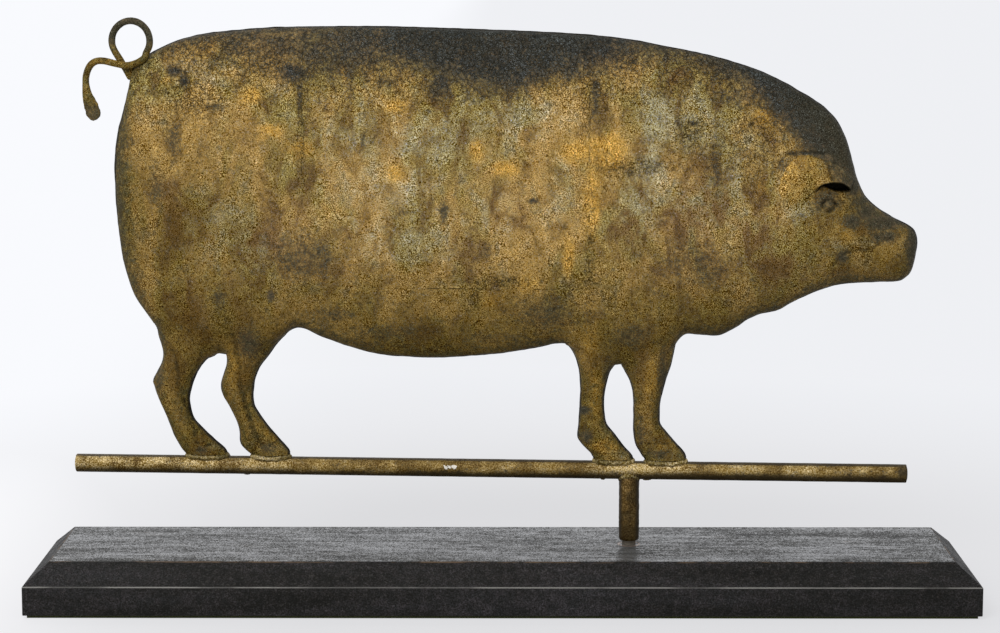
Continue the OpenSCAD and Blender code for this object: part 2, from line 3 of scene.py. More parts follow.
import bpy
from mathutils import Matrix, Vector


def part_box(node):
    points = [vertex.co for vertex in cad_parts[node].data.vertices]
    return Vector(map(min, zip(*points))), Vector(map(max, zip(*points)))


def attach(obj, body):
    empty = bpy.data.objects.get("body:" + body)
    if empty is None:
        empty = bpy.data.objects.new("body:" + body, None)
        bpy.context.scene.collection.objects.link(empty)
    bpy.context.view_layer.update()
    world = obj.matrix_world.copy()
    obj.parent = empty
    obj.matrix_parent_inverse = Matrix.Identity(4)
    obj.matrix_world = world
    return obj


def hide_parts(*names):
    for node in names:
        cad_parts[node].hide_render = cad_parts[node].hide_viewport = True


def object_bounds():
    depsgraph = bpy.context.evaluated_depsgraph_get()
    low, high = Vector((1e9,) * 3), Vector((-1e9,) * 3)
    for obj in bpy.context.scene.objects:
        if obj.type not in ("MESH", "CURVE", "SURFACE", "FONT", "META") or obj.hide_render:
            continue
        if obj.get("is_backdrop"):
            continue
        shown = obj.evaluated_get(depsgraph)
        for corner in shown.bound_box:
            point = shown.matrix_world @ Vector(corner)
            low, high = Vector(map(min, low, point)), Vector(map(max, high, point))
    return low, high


bl_info = {
    "name": "Pig Weathervane",
    "version": (1, 0, 0),
    "blender": (4, 5, 0),
    "location": "View3D > Sidebar > Vane",
    "description": "Hammered copper pig on a crossbar and spindle, with its display base and studio",
    "category": "Object",
}

import math

import bpy
import numpy as np
from bpy.props import FloatProperty, FloatVectorProperty, IntProperty, PointerProperty
from bpy.types import Operator, Panel, PropertyGroup
from mathutils import Vector, noise

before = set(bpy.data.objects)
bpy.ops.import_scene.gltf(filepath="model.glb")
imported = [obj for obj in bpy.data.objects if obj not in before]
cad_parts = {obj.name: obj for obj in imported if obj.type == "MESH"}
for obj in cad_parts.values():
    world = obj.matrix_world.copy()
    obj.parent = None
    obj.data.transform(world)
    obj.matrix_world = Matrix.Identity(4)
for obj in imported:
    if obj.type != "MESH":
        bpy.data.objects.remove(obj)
CAD_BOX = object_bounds()

MM = 0.001

# The vane's own plane: x along the crossbar from the spindle, y away from the viewer, z up from the soles.
# It stands turned about the spindle by REST_TURN.
REST_TURN = math.radians(3.7)
SPINDLE = [(a + b) / 2 for a, b in zip(*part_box("spindle"))]
SOLE_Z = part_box("foot_solder")[1][2]
BAR_LOW, BAR_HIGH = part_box("crossbar")
BAR_Z = (BAR_LOW[2] + BAR_HIGH[2]) / 2 - SOLE_Z
BAR_MM = BAR_Z / MM
BOARD_LOW, BOARD_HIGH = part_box("base_board")

# Outline of the pig in mm, from the rearmost point of the rump over the back to the tip of the snout
BACK_LINE = (
    (-528, 286), (-527, 313), (-523, 336), (-516, 360), (-510.5, 383), (-508.5, 394), (-503.5, 402),
    (-494.5, 408.5), (-482, 416), (-462, 425), (-435, 432), (-400, 436), (-360, 439), (-305, 440),
    (-240, 440), (-173, 438), (-114, 436), (-55, 433), (-5, 428), (33, 421), (78, 412), (122, 399),
    (151, 386), (167, 377), (184, 367), (198, 356), (208, 343), (216, 326), (222, 305), (226, 291),
    (234, 273), (246, 261), (262, 251), (279, 242), (286, 235), (288, 225),
)
RUMP_LINE = (
    (-528, 286), (-527, 258), (-525, 236), (-521, 203), (-515, 180), (-509, 164), (-500, 151), (-489, 135),
)
BELLY_LINE = (
    (-352, 127), (-346, 131), (-340, 132.5), (-332, 131), (-322, 126), (-304, 119), (-283, 112),
    (-258, 106), (-235, 104), (-194, 103), (-133, 108), (-92, 115), (-78, 118.5), (-66, 119),
)
CHEST_LINE = (
    (46, 119), (52, 127), (58, 130), (68, 129.5), (87, 128.5), (97, 131.5), (110, 139), (118, 145),
    (131, 151), (149, 155), (161, 162), (175, 169), (191, 176), (211, 182), (231, 184), (251, 185),
    (268, 185.5), (276, 189), (282, 196), (286, 210), (288, 225),
)

# Each leg's back edge and front edge as (height, x), the height where each meets the body, and the rise
# of the joint line between them
LEGS = {
    "hind_leg_back": {
        "back": (
            (0, -459), (5.5, -463.5), (18, -470.5), (38, -478), (56, -486), (71, -491), (76, -492),
            (87, -486.5), (96, -482), (106, -481), (122, -485), (135, -489), (164, -509), (203, -521),
            (236, -525),
        ),
        "front": (
            (0, -415), (6, -418.5), (15, -429), (27, -441.5), (38, -450.5), (53, -454), (65, -453),
            (78, -449), (91, -442), (101, -433), (105, -424), (130, -408), (170, -400), (236, -402),
        ),
        "joint": (135, 105),
        "arch": 9,
    },
    "hind_leg_front": {
        "back": (
            (0, -391), (6, -398), (12, -402), (24, -402.5), (35, -405.5), (49.5, -412.5), (62, -419.5),
            (73, -421), (84, -418), (95, -414.5), (104, -415), (130, -418), (170, -420), (236, -415),
        ),
        "front": (
            (0, -350), (6, -352), (16, -361), (30, -373), (46, -384), (55, -387.5), (71.5, -387),
            (88, -382.5), (100, -374), (117, -361.5), (127, -352), (150, -338), (190, -330), (236, -330),
        ),
        "joint": (104, 127),
        "arch": 7,
    },
    "foreleg_back": {
        "back": (
            (0, -37), (5, -39), (13, -47), (22, -53), (36, -52), (54, -51), (74, -50.5), (93, -52),
            (106, -56), (115, -61), (119, -66), (140, -72), (180, -78), (236, -75),
        ),
        "front": (
            (0, 4.5), (6, 1), (13.5, -6.5), (25, -15), (35, -23), (45, -25.5), (61, -26.5), (78, -24),
            (90, -20.5), (97, -16), (120, -8), (170, 0), (236, 0),
        ),
        "joint": (119, 97),
        "arch": 12,
    },
    "foreleg_front": {
        "back": (
            (0, 15.5), (8, 10.5), (16.5, 6), (32, 4), (47, 4), (66.5, 3.5), (80, 0.5), (92, -5.5),
            (98, -9), (120, -15), (170, -18), (236, -15),
        ),
        "front": (
            (0, 58.5), (7, 56), (17, 47.5), (29, 37), (37.5, 31), (48, 30.5), (61.5, 31.5), (80.5, 36),
            (99, 42), (119, 46), (150, 52), (190, 60), (236, 62),
        ),
        "joint": (98, 119),
        "arch": 9,
    },
}

# Height in mm at which a leg is lost in the body, and the height over which the body runs on down into it
LEG_TOP = 236
LEG_RUN = 12
# Powers of the round section of the body, and of the blend between body and legs
SECTION_POWER = 2.2
BLEND_POWER = 2.5
# Lengths over which the body rounds off at the rump and at the snout
RUMP_ROUND = 120
SNOUT_ROUND = 22

# Half thickness along the body as a share of the swell
GIRTH_LINE = (
    (-540, 0.8), (-470, 0.95), (-400, 1), (-200, 1), (0, 1), (90, 0.93), (160, 0.83), (215, 0.68),
    (250, 0.57), (300, 0.5),
)
# Hammered swellings and hollows: x, z, half width, half height, rise
DRESSINGS = (
    (-432, 215, 75, 85, 4), (8, 215, 62, 90, 4), (135, 215, 50, 45, 4), (188, 300, 26, 22, 3),
    (-290, 250, 55, 100, -2), (96, 320, 30, 70, -2.5), (232, 226, 26, 22, 2), (262, 222, 14, 20, 2),
)
# The upright seams' x, the level seam's height, and how far the sheets keep back from rump and snout
HIND_SEAM = -330
FORE_SEAM = -41
BELLY_SEAM = 178
END_TRIM = 0.6

EYE = (198, 264)
# The hollow that the ear opens into: middle, half length, half height, tilt, depth
EAR_HOLLOW = {"x": 205, "z": 283, "half": 14, "high": 4.6, "tilt": -0.15, "deep": 10}
# Creases pressed into the sheet: points, half width, depth, share of soil in it
CREASES = (
    # the mouth and the fold of the snout above it
    (((203, 192), (205, 203), (209, 212), (220, 218), (240, 219.5), (252, 228), (260, 232)), 2.0, 0.8, 0.4),
    # the thin end of the ear's opening
    (((185, 279), (189, 283.5), (195, 286), (202, 286)), 1.0, 1.0, 0.9),
    (((205, 274), (212, 267), (217, 258)), 1.8, 0.9, 0.4),
    (((150, 246), (158, 228), (172, 214), (190, 206)), 5.5, 0.9, 0.0),
    (((154, 315), (166, 317), (180, 318), (192, 316)), 1.6, 0.7, 0.55),
    # coronets of the hooves
    (((-369, 10), (-360, 18), (-350, 18), (-343, 12)), 1.3, 0.7, 0.6),
    (((-437, 9), (-426, 13), (-416, 9)), 1.5, 0.7, 0.6),
    (((16, 16), (28, 19), (42, 17)), 1.3, 0.5, 0.4),
    (((-44, 16), (-30, 18), (-14, 14)), 1.3, 0.5, 0.35),
)
# Grooves beside the tendons of the hind legs
TENDONS = (
    (((-468, 108), (-464, 92), (-463, 74), (-457, 52), (-452, 34), (-445, 14)), 3.6, 2.0, 0.4),
    (((-404, 128), (-402, 104), (-399, 74), (-394, 50), (-387, 28), (-381, 12)), 3.8, 2.4, 0.45),
)

# Lower edge of the blue-black patina that runs along the back, and how strong it is
PATINA_EDGE = (
    (-520, 400), (-433, 405), (-392, 395), (-342, 388), (-297, 380), (-231, 396), (-181, 384), (-151, 376),
    (-111, 374), (-71, 388), (-31, 391), (9, 400), (68, 390), (118, 370), (158, 334), (188, 304),
    (213, 286), (230, 272), (290, 256),
)
PATINA_STRENGTH = (
    (-520, 0.35), (-440, 0.55), (-380, 0.58), (-310, 0.6), (-250, 0.75), (-210, 1.05), (-60, 1.0), (0, 0.8),
    (60, 0.62), (110, 0.85), (150, 1.1), (190, 1.1), (226, 1.05), (250, 0.9), (290, 0.8),
)
# Patches of the finish, each (x, z, half width, half height, strength). Gold shows through the film here.
GOLD_PATCHES = (
    (-24, 318, 17, 17, 1.2), (-52, 318, 22, 12, 0.7), (-37, 269, 9, 46, 0.7), (-61, 209, 6, 22, 0.9),
    (-125, 300, 14, 9, 0.7), (-234, 295, 16, 10, 0.5), (-155, 319, 10, 14, 0.75), (-330, 319, 22, 14, 0.6),
    (-293, 397, 12, 8, 0.5), (-235, 362, 12, 8, 0.65), (-380, 372, 12, 9, 0.8), (-360, 337, 12, 8, 0.7),
    (-424, 418, 14, 9, 0.6), (133, 352, 9, 12, 0.7), (130, 282, 10, 12, 0.5), (182, 291, 14, 9, 0.6),
    (-137, 165, 16, 12, 0.6), (-103, 183, 14, 10, 0.5), (-33, 70, 9, 46, 0.7), (-300, 257, 12, 12, 0.4),
    (212, 236, 16, 12, 0.45), (252, 212, 16, 12, 0.4), (-470, 386, 10, 6, 0.6), (22, 84, 8, 24, 0.7),
    (-30, 14, 20, 10, 0.8), (-436, 60, 10, 30, 0.4), (-404, 96, 9, 26, 0.6), (-366, 26, 10, 14, 0.9),
    (-432, 26, 8, 12, 0.7), (-38, 120, 12, 24, 0.6), (36, 16, 14, 10, 0.5),
)
# Pale grey green or tan bloom; the one beside the eye at x 168, z 256 is a painted highlight
PALE_PATCHES = (
    (25, 349, 16, 22, 0.95), (20, 304, 16, 28, 0.95), (10, 269, 20, 26, 0.6), (-200, 329, 62, 24, 0.6),
    (-270, 329, 50, 30, 0.5), (-420, 244, 42, 40, 0.5), (-230, 229, 60, 28, 0.45), (-240, 279, 50, 28, 0.5),
    (168, 256, 14, 9, 0.7), (-350, 10, 20, 9, 1.0), (-424, 8, 14, 5, 0.9), (-4, 6, 14, 7, 0.9),
    (-24, 78, 5, 44, 0.7), (50, 6, 12, 6, 0.8), (236, 206, 18, 9, 0.35), (170, 300, 14, 16, 0.5),
    (205, 226, 20, 10, 0.55), (190, 262, 12, 12, 0.6), (60, 289, 30, 40, 0.3), (-380, 209, 40, 30, 0.35),
    (62, 340, 40, 36, 0.5), (100, 300, 30, 40, 0.35), (248, 222, 30, 26, 0.35), (-110, 349, 40, 20, 0.5),
    (-130, 260, 30, 30, 0.3), (-440, 400, 40, 14, 0.4), (-70, 285, 14, 60, 0.35),
)
# Rose brown
ROSE_PATCHES = (
    (-470, 279, 16, 42, 0.8), (-360, 229, 30, 24, 0.7), (-330, 239, 40, 30, 0.45), (70, 254, 42, 42, 0.7),
    (110, 239, 40, 30, 0.6), (60, 199, 50, 30, 0.5), (-110, 259, 30, 30, 0.4), (-300, 199, 50, 20, 0.4),
    (190, 329, 22, 12, 0.7), (178, 327, 16, 12, 0.9), (232, 240, 12, 8, 0.8), (215, 196, 26, 8, 0.6),
    (-160, 209, 40, 30, 0.45), (-440, 140, 20, 40, 0.6), (-396, 100, 14, 50, 0.9), (16, 90, 10, 50, 0.8),
    (-470, 84, 12, 30, 0.8), (-430, 30, 12, 20, 0.6), (0, 240, 20, 40, 0.35), (150, 200, 40, 20, 0.5),
)
# Where the film is crazed with fine cracks
CRACKLED = (
    (-440, 372, 34, 24, 0.9), (-130, 185, 26, 5, 1.0), (-156, 174, 4, 12, 1.0), (4, 302, 40, 7, 1.0),
    (-44, 390, 5, 60, 0.9), (-330, 350, 4, 60, 0.8), (60, 340, 24, 24, 0.7), (-40, 210, 5, 60, 0.7),
    (120, 330, 40, 40, 0.5), (-411, 369, 12, 8, 0.8), (-440, 379, 14, 6, 1.0),
)
# Blue-black or dark brown patches and flecks; those over the head and snout also paint shade there
DARK_PATCHES = (
    (-461, 395, 9, 5, 0.8), (-450, 386, 6, 8, 0.8), (-339, 395, 19, 12, 0.85), (-245, 388, 12, 9, 0.5),
    (-190, 386, 15, 20, 0.7), (-268, 330, 3, 10, 0.6), (-187, 257, 5, 18, 0.6), (-330, 209, 36, 28, 0.5),
    (-332, 367, 3, 24, 0.6), (-461, 326, 9, 20, 0.5), (-479, 279, 10, 22, 0.45), (-231, 257, 10, 8, 0.4),
    (-144, 215, 5, 14, 0.45), (-364, 169, 4, 7, 0.95), (-97, 268, 6, 3, 0.9), (61, 346, 7, 3, 0.6),
    (110, 373, 30, 14, 0.5), (160, 356, 12, 18, 0.65), (-36, 374, 5, 24, 0.6), (-59, 399, 20, 14, 0.7),
    (66, 205, 40, 34, 0.36), (-84, 152, 42, 26, 0.42), (254, 247, 22, 9, 1.0), (256, 233, 13, 8, 0.75),
    (284, 222, 9, 30, 0.9), (222, 249, 12, 9, 0.75), (247, 232, 9, 6, 0.7), (180, 316, 26, 3, 0.8),
    (196, 268, 15, 12, 0.6), (236, 257, 13, 12, 0.8), (222, 283, 8, 12, 0.95), (212, 213, 8, 9, 0.7),
    (-420, 360, 16, 4, 0.5), (-300, 150, 30, 10, 0.4), (-388, 118, 16, 22, 0.55), (-48, 51, 8, 5, 0.9),
    (-44, 24, 8, 8, 0.7), (86, 300, 10, 40, 0.35), (0, 130, 24, 14, 0.45), (12, 26, 5, 20, 0.5),
    (-484, 84, 7, 26, 0.6), (-366, 80, 9, 34, 0.55), (34, 90, 7, 40, 0.55), (-20, 80, 6, 34, 0.45),
    (-372, 8, 12, 7, 0.5), (-440, 5, 8, 5, 0.5), (30, 8, 12, 6, 0.5), (-416, 167, 8, 12, 0.5),
    (230, 268, 14, 10, 0.6), (150, 305, 12, 12, 0.4), (-250, 130, 60, 12, 0.35), (-140, 125, 50, 10, 0.3),
)


def length(name, description, default, low, high):
    """A length in metres that the panel shows."""
    return FloatProperty(
        name=name, description=description, default=default, min=low, max=high, unit="LENGTH",
    )


def colour(name, description, *default):
    """A colour that the panel shows."""
    return FloatVectorProperty(
        name=name, description=description, default=default, subtype="COLOR", min=0, max=1,
    )


class PigSizes(PropertyGroup):
    """Sizes of the sheet metal work."""

    swell: length("Swell", "Half thickness of the swelled body", 0.038, 0.03, 0.046)
    sheet: length("Sheet", "Thickness of the copper sheet", 0.001, 0.0008, 0.0014)
    hammering: length("Hammering", "Depth of the hammer marks", 0.00035, 0, 0.001)
    leg_half: length("Leg", "Greatest half thickness of a leg below the hock", 0.0125, 0.01, 0.014)
    rim_bead: length("Rim bead", "Radius of the solder bead along the outline", 0.001, 0.0005, 0.002)
    ear_lift: length("Ear lift", "How far the open lip of the ear stands off the head", 0.0118, 0.006, 0.013)
    lump: length("Solder grain", "Voxel size of the solder lumps", 0.0008, 0.0005, 0.002)


class PigColours(PropertyGroup):
    """Colours of the patina."""

    ochre: colour("Ochre", "Worn gilding", 0.45, 0.28, 0.08)
    olive: colour("Olive", "Olive film", 0.38, 0.29, 0.082)
    rose: colour("Rose brown", "Warm brown film", 0.27, 0.155, 0.06)
    pale: colour("Bloom", "Pale grey green bloom", 0.5, 0.43, 0.22)
    gold: colour("Gold", "Bright patches of gilding", 0.72, 0.41, 0.08)
    umber: colour("Umber", "Fine dark speckle", 0.045, 0.026, 0.005)
    blue_black: colour("Blue black", "Patina along the back", 0.0205, 0.0235, 0.0225)
    # soil also paints the shadow in the ear's opening
    soil: colour("Soil", "Dirt in creases and along the rim", 0.011, 0.009, 0.004)
    green: colour("Edge green", "Green film near the rim", 0.1, 0.088, 0.022)


class StandLook(PropertyGroup):
    """Colours of the display base and the studio."""

    paint: colour("Paint", "Black paint on the board", 0.012, 0.0115, 0.011)
    wear: colour("Wear", "Bare wood where the paint is rubbed", 0.13, 0.085, 0.05)
    felt: colour("Felt", "Felt under the board", 0.07, 0.08, 0.03)
    floor: colour("Floor", "Matt part of the floor", 0.5, 0.5, 0.52)
    near: colour("Near floor", "Brightness of the floor near the stand", 0.98, 0.98, 1.0)
    backdrop: colour("Backdrop", "Far floor and background", 0.86, 0.87, 0.9)
    key: FloatProperty(
        name="Key light", description="Power of the soft light over the front", default=62, min=0, max=200,
    )
    lens: IntProperty(
        name="Lens", description="Focal length in tenths of a millimetre", default=972, min=200, max=3000,
    )


# Lines and shape


def smooth_line(points, steps=12):
    """Smooth curve through given points, with its first coordinate always rising."""
    p = np.array(points, float)
    out = []
    for i in range(len(p) - 1):
        a, b, c, d = p[max(i - 1, 0)], p[i], p[i + 1], p[min(i + 2, len(p) - 1)]
        for k in range(steps):
            t = k / steps
            out.append(
                0.5 * (2 * b + (c - a) * t + (2 * a - 5 * b + 4 * c - d) * t**2
                       + (3 * b - a - 3 * c + d) * t**3)
            )
    out.append(p[-1])
    out = np.array(out)
    out[:, 0] = np.maximum.accumulate(out[:, 0])
    return out


def along(line, v):
    """Second coordinate of a line where the first one is v."""
    return np.interp(v, line[:, 0], line[:, 1])


def soft_step(v, low, high):
    """0 below low, 1 above high and smooth between them."""
    t = np.clip((v - low) / (high - low), 0, 1)
    return t * t * (3 - 2 * t)


def round_end(d, r):
    """Quarter circle that rises from 0 to 1 within r."""
    return np.sqrt(np.clip(1 - (1 - np.clip(d / r, 0, 1)) ** 2, 0, 1))


BACK = smooth_line(BACK_LINE)
GIRTH = smooth_line(GIRTH_LINE)
EDGES = {name: {side: smooth_line(leg[side]) for side in ("back", "front")} for name, leg in LEGS.items()}
EDGE_OF_PATINA = smooth_line(PATINA_EDGE)
STRENGTH_OF_PATINA = smooth_line(PATINA_STRENGTH)
RUMP_X, RUMP_Z = BACK_LINE[0]
SNOUT_X = BACK_LINE[-1][0]


def joint_line(name, share):
    """Points of the seam on top of a leg, from its back edge at 0 to its front edge at 1."""
    leg = LEGS[name]
    low, high = leg["joint"]
    a = (along(EDGES[name]["back"], low), low)
    b = (along(EDGES[name]["front"], high), high)
    x = a[0] + (b[0] - a[0]) * share
    z = a[1] + (b[1] - a[1]) * share + leg["arch"] * 4 * share * (1 - share)
    return x, z


def underside():
    """The lower edge of the body, over the legs' joint lines, as one line from rump to snout."""
    share = np.linspace(0, 1, 20)
    joints = [np.stack(joint_line(name, share), 1) for name in LEGS]
    pieces = [smooth_line(RUMP_LINE), joints[0], joints[1], smooth_line(BELLY_LINE), joints[2], joints[3]]
    line = np.concatenate(pieces + [smooth_line(CHEST_LINE)])
    line[:, 0] = np.maximum.accumulate(line[:, 0])
    return line


UNDER = underside()


def leg_share(name, x, z):
    """Place across a leg, from -1 at its back edge to 1 at its front edge."""
    b, f = along(EDGES[name]["back"], z), along(EDGES[name]["front"], z)
    return (2 * x - b - f) / (f - b)


def body_bulge(x, z, swell):
    """Half thickness of the swelled body at points of its plane, in mm. It runs on down into the legs."""
    low, high = along(UNDER, x), along(BACK, x)
    half = np.maximum((high - low) / 2, 0.01)
    above = z - low
    middle = np.zeros_like(x)
    for name in LEGS:
        middle = np.maximum(middle, np.sqrt(np.clip(1 - leg_share(name, x, z) ** 2, 0, 1)) * (z < LEG_TOP))
    run = LEG_RUN * np.logaddexp(0, above / LEG_RUN)
    above = above + (run - above) * middle * (1 - soft_step(above, 20, 70))
    s = np.clip(np.abs(above - half) / half, 0, 1)
    ends = round_end(x - RUMP_X - END_TRIM, RUMP_ROUND) * round_end(SNOUT_X - END_TRIM - x, SNOUT_ROUND)
    return swell * along(GIRTH, x) * (1 - s**SECTION_POWER) ** (1 / SECTION_POWER) * ends


def leg_bulge(name, x, z, leg_half):
    """Half thickness that a leg's muscle adds, fading out inside the body."""
    b, f = along(EDGES[name]["back"], z), along(EDGES[name]["front"], z)
    s = np.clip(np.abs(leg_share(name, x, z)), 0, 1)
    limit = leg_half + 8 * soft_step(z, 60, 130)
    return np.minimum(0.88 * (f - b) / 2, limit) * np.sqrt(1 - s * s) * (1 - soft_step(z, 130, LEG_TOP))


def rough(x, z, size, seed=0.0, depth=2):
    """Smooth noise about zero over the vane's plane, with features of the given size in mm."""
    return np.array([
        noise.fractal(Vector((a / size, b / size, seed)), 0.6, 2.1, depth) for a, b in zip(x, z)
    ])


def near_path(x, z, points):
    """Distance in mm from each point to a path of points."""
    best = np.full(np.shape(x), 1e9)
    for a, b in zip(points, points[1:]):
        dx, dz = b[0] - a[0], b[1] - a[1]
        t = np.clip(((x - a[0]) * dx + (z - a[1]) * dz) / (dx * dx + dz * dz), 0, 1)
        best = np.minimum(best, np.hypot(x - a[0] - t * dx, z - a[1] - t * dz))
    return best


def ear_hollow(x, z):
    """1 in the middle of the ear's opening and 0 outside it."""
    e = EAR_HOLLOW
    c, s = math.cos(e["tilt"]), math.sin(e["tilt"])
    u = ((x - e["x"]) * c + (z - e["z"]) * s) / e["half"]
    v = ((z - e["z"]) * c - (x - e["x"]) * s) / e["high"]
    v = v / np.clip(1.05 - 0.45 * (u < 0) * np.abs(u), 0.2, 1)
    return np.clip(1 - u**2 - v**2, 0, 1)


def eye_relief(x, z):
    """The lid, the groove and the ball of the eye, in mm above the head, and where the groove is."""
    r = np.hypot((x - EYE[0]) / 1.12, z - EYE[1])
    wave = 0.7 + 0.3 * np.sin(3.1 * np.arctan2(z - EYE[1], x - EYE[0]))
    lid = 2.2 * np.exp(-(((r - 8.8) / 2.1) ** 2)) * wave
    groove = np.exp(-(((r - 5.8) / 1.3) ** 2))
    ball = 2.2 * np.sqrt(np.clip(1 - (r / 4.9) ** 2, 0, 1))
    return lid - 1.2 * groove + ball, groove * wave


def shape(x, z, sizes, fine=True):
    """Half thickness of the pig at points of its plane in mm, and the share of soil in its creases."""
    body = body_bulge(x, z, sizes.swell / MM)
    total = body**BLEND_POWER
    for name in LEGS:
        total = total + leg_bulge(name, x, z, sizes.leg_half / MM) ** BLEND_POWER * (z < LEG_TOP)
    h = total ** (1 / BLEND_POWER)
    inner = np.clip(body / 20, 0, 1)
    for cx, cz, rx, rz, rise in DRESSINGS:
        h = h + rise * np.exp(-(((x - cx) / rx) ** 2) - ((z - cz) / rz) ** 2) * inner
    groove = np.zeros_like(h)
    if fine:
        free = np.clip(h / 8, 0, 1)
        depth = sizes.hammering / MM
        h = h + free * (depth * 1.6 * rough(x, z, 46, 3.1) + depth * rough(x, z, 17, 7.7))
        eye, round_eye = eye_relief(x, z)
        h = h + eye * (h > 10)
        groove = 0.7 * round_eye
        for points, wide, deep, dirty in CREASES + TENDONS:
            g = np.exp(-((near_path(x, z, points) / wide) ** 2))
            h = h - deep * g * free
            groove = np.maximum(groove, g * dirty)
        hollow = ear_hollow(x, z)
        h = h - EAR_HOLLOW["deep"] * np.clip(hollow * 2.2, 0, 1) ** 0.8
    return np.maximum(h, 0), groove


def blotches(x, z, patches):
    """Strongest of a set of soft patches at each point."""
    out = np.zeros_like(x)
    for cx, cz, rx, rz, strength in patches:
        out = np.maximum(out, strength * np.exp(-(((x - cx) / rx) ** 2) - ((z - cz) / rz) ** 2))
    return out


def patina(x, z, h, groove, rim=9.0):
    """Two sets of four shares at each point: blue-black, soil, brown and gold, then bloom, rose, film near
    the rim and crackle. The blue-black also lays painted shade along the lower rim, the soil a painted
    shadow in the ear's opening, and the brown is partly a brown film and partly painted shade, darker
    towards the bottom and over the head. rim is how thick the vane is where its dark rim ends."""
    edge = along(EDGE_OF_PATINA, x)
    back = soft_step(z, edge - 24, edge + 38) * along(STRENGTH_OF_PATINA, x)
    back = np.maximum(back, blotches(x, z, DARK_PATCHES))
    # Painted shade: darker where the swell thins towards the lower rim, laid into the blue-black share
    painted_rim_shade = (1 - soft_step(h, rim, rim * 3)) * soft_step(z, 95, 125) * (1 - soft_step(z, 340, 390))
    back = np.maximum(back, 0.37 * painted_rim_shade)
    soil = np.maximum(0.9 * (1 - soft_step(h, rim * 0.2, rim)), groove)
    # Painted shadow: the ear's opening is filled with the soil colour
    soil = np.maximum(soil, np.clip(ear_hollow(x, z) * 3.2, 0, 1) * (h > 0))
    # brown is partly a brown film and partly painted shade, darker towards the bottom and over the head;
    # it is also eased off low on the forelegs and raised over the lower rump
    brown = 1 - soft_step(z, 95, 255)
    brown *= 1 - (0.5 - 0.3 * soft_step(x, -20, 10)) * soft_step(x, -70, -50) * (1 - soft_step(z, 90, 130))
    brown = np.maximum(brown, 0.76 * soft_step(x, 120, 240))
    brown = np.maximum(brown, 0.62 * (1 - soft_step(x, -480, -300)) * (1 - soft_step(z, 250, 400)))
    film = 0.95 * (1 - soft_step(x + 0.06 * np.abs(z - RUMP_Z), -525, -490)) * (z > 120)
    film = np.maximum(film, 0.6 * (1 - soft_step(h, rim, rim * 2.1)))
    crackle = np.maximum(soft_step(z, 330, 400) * 0.5, blotches(x, z, CRACKLED))
    shares = [back, soil, brown, blotches(x, z, GOLD_PATCHES), blotches(x, z, PALE_PATCHES),
              blotches(x, z, ROSE_PATCHES), film, crackle]
    return np.clip(np.stack(shares, 1), 0, 1.1)


# Making pieces


def to_frame(points):
    """Points of the vane's plane in mm, as places in the model's frame in metres."""
    p = np.asarray(points, float)
    c, s = math.cos(REST_TURN), math.sin(REST_TURN)
    x = (p[:, 0] * c + p[:, 1] * s) * MM + SPINDLE[0]
    y = (-p[:, 0] * s + p[:, 1] * c) * MM + SPINDLE[1]
    return np.stack([x, y, p[:, 2] * MM + SOLE_Z], 1)


def deselect():
    """Leaves nothing selected."""
    bpy.ops.object.select_all(action="DESELECT")


def weld(threshold):
    """Joins the points that meet in the active piece and turns its faces outwards."""
    bpy.ops.object.mode_set(mode="EDIT")
    bpy.ops.mesh.select_all(action="SELECT")
    bpy.ops.mesh.remove_doubles(threshold=threshold)
    bpy.ops.mesh.normals_make_consistent(inside=False)
    bpy.ops.object.mode_set(mode="OBJECT")


def modify(piece, kind, **settings):
    """Adds one modifier and applies it."""
    m = piece.modifiers.new(kind.title(), kind)
    for key, value in settings.items():
        setattr(m, key, value)
    bpy.ops.object.modifier_apply(modifier=m.name)


def laid_grid(name, columns, rows, skin):
    """A flat grid whose points are laid on a shape. skin turns shares (s, t) of it into points of the vane's
    plane and, where the piece has a patina, its eight shares there."""
    deselect()
    bpy.ops.mesh.primitive_grid_add(x_subdivisions=columns, y_subdivisions=rows, size=1)
    piece = bpy.context.object
    piece.name = piece.data.name = name
    co = np.empty(len(piece.data.vertices) * 3)
    piece.data.vertices.foreach_get("co", co)
    co = co.reshape(-1, 3) + 0.5
    points, shares = skin(co[:, 0], co[:, 1])
    piece.data.vertices.foreach_set("co", to_frame(points).ravel())
    if shares is not None:
        set_patina(piece, shares)
    piece.data.update()
    return piece


def set_patina(piece, values):
    """Stores the patina's shares on a piece's points."""
    for key, part in (("patina", values[:, :4]), ("bloom", values[:, 4:])):
        layer = piece.data.attributes.new(key, "FLOAT_COLOR", "POINT")
        layer.data.foreach_set("color", np.ascontiguousarray(part, float).ravel())


def even_patina(piece, *shares):
    """The same eight shares all over a piece."""
    set_patina(piece, np.tile(shares, (len(piece.data.vertices), 1)))


def tube(name, path, across, around=16):
    """A closed rod along path, a list of points in the vane's plane. across gives each point's half width in
    the plane and half thickness across it."""
    path = np.array(path, float)
    way = np.gradient(path, axis=0)
    way /= np.linalg.norm(way, axis=1)[:, None]
    side = np.cross(way, (0, -1, 0))
    side /= np.linalg.norm(side, axis=1)[:, None]
    front = np.cross(side, way)
    last = len(path) - 1

    def skin(s, t):
        i = np.rint(s * last).astype(int)
        a = -2 * math.pi * t
        wide, thick = (across[i] * np.stack([np.cos(a), np.sin(a)], 1)).T[:, :, None]
        return path[i] + side[i] * wide + front[i] * thick, None

    piece = laid_grid(name, last, around, skin)
    weld(2e-6)
    bpy.ops.object.shade_smooth()
    return piece


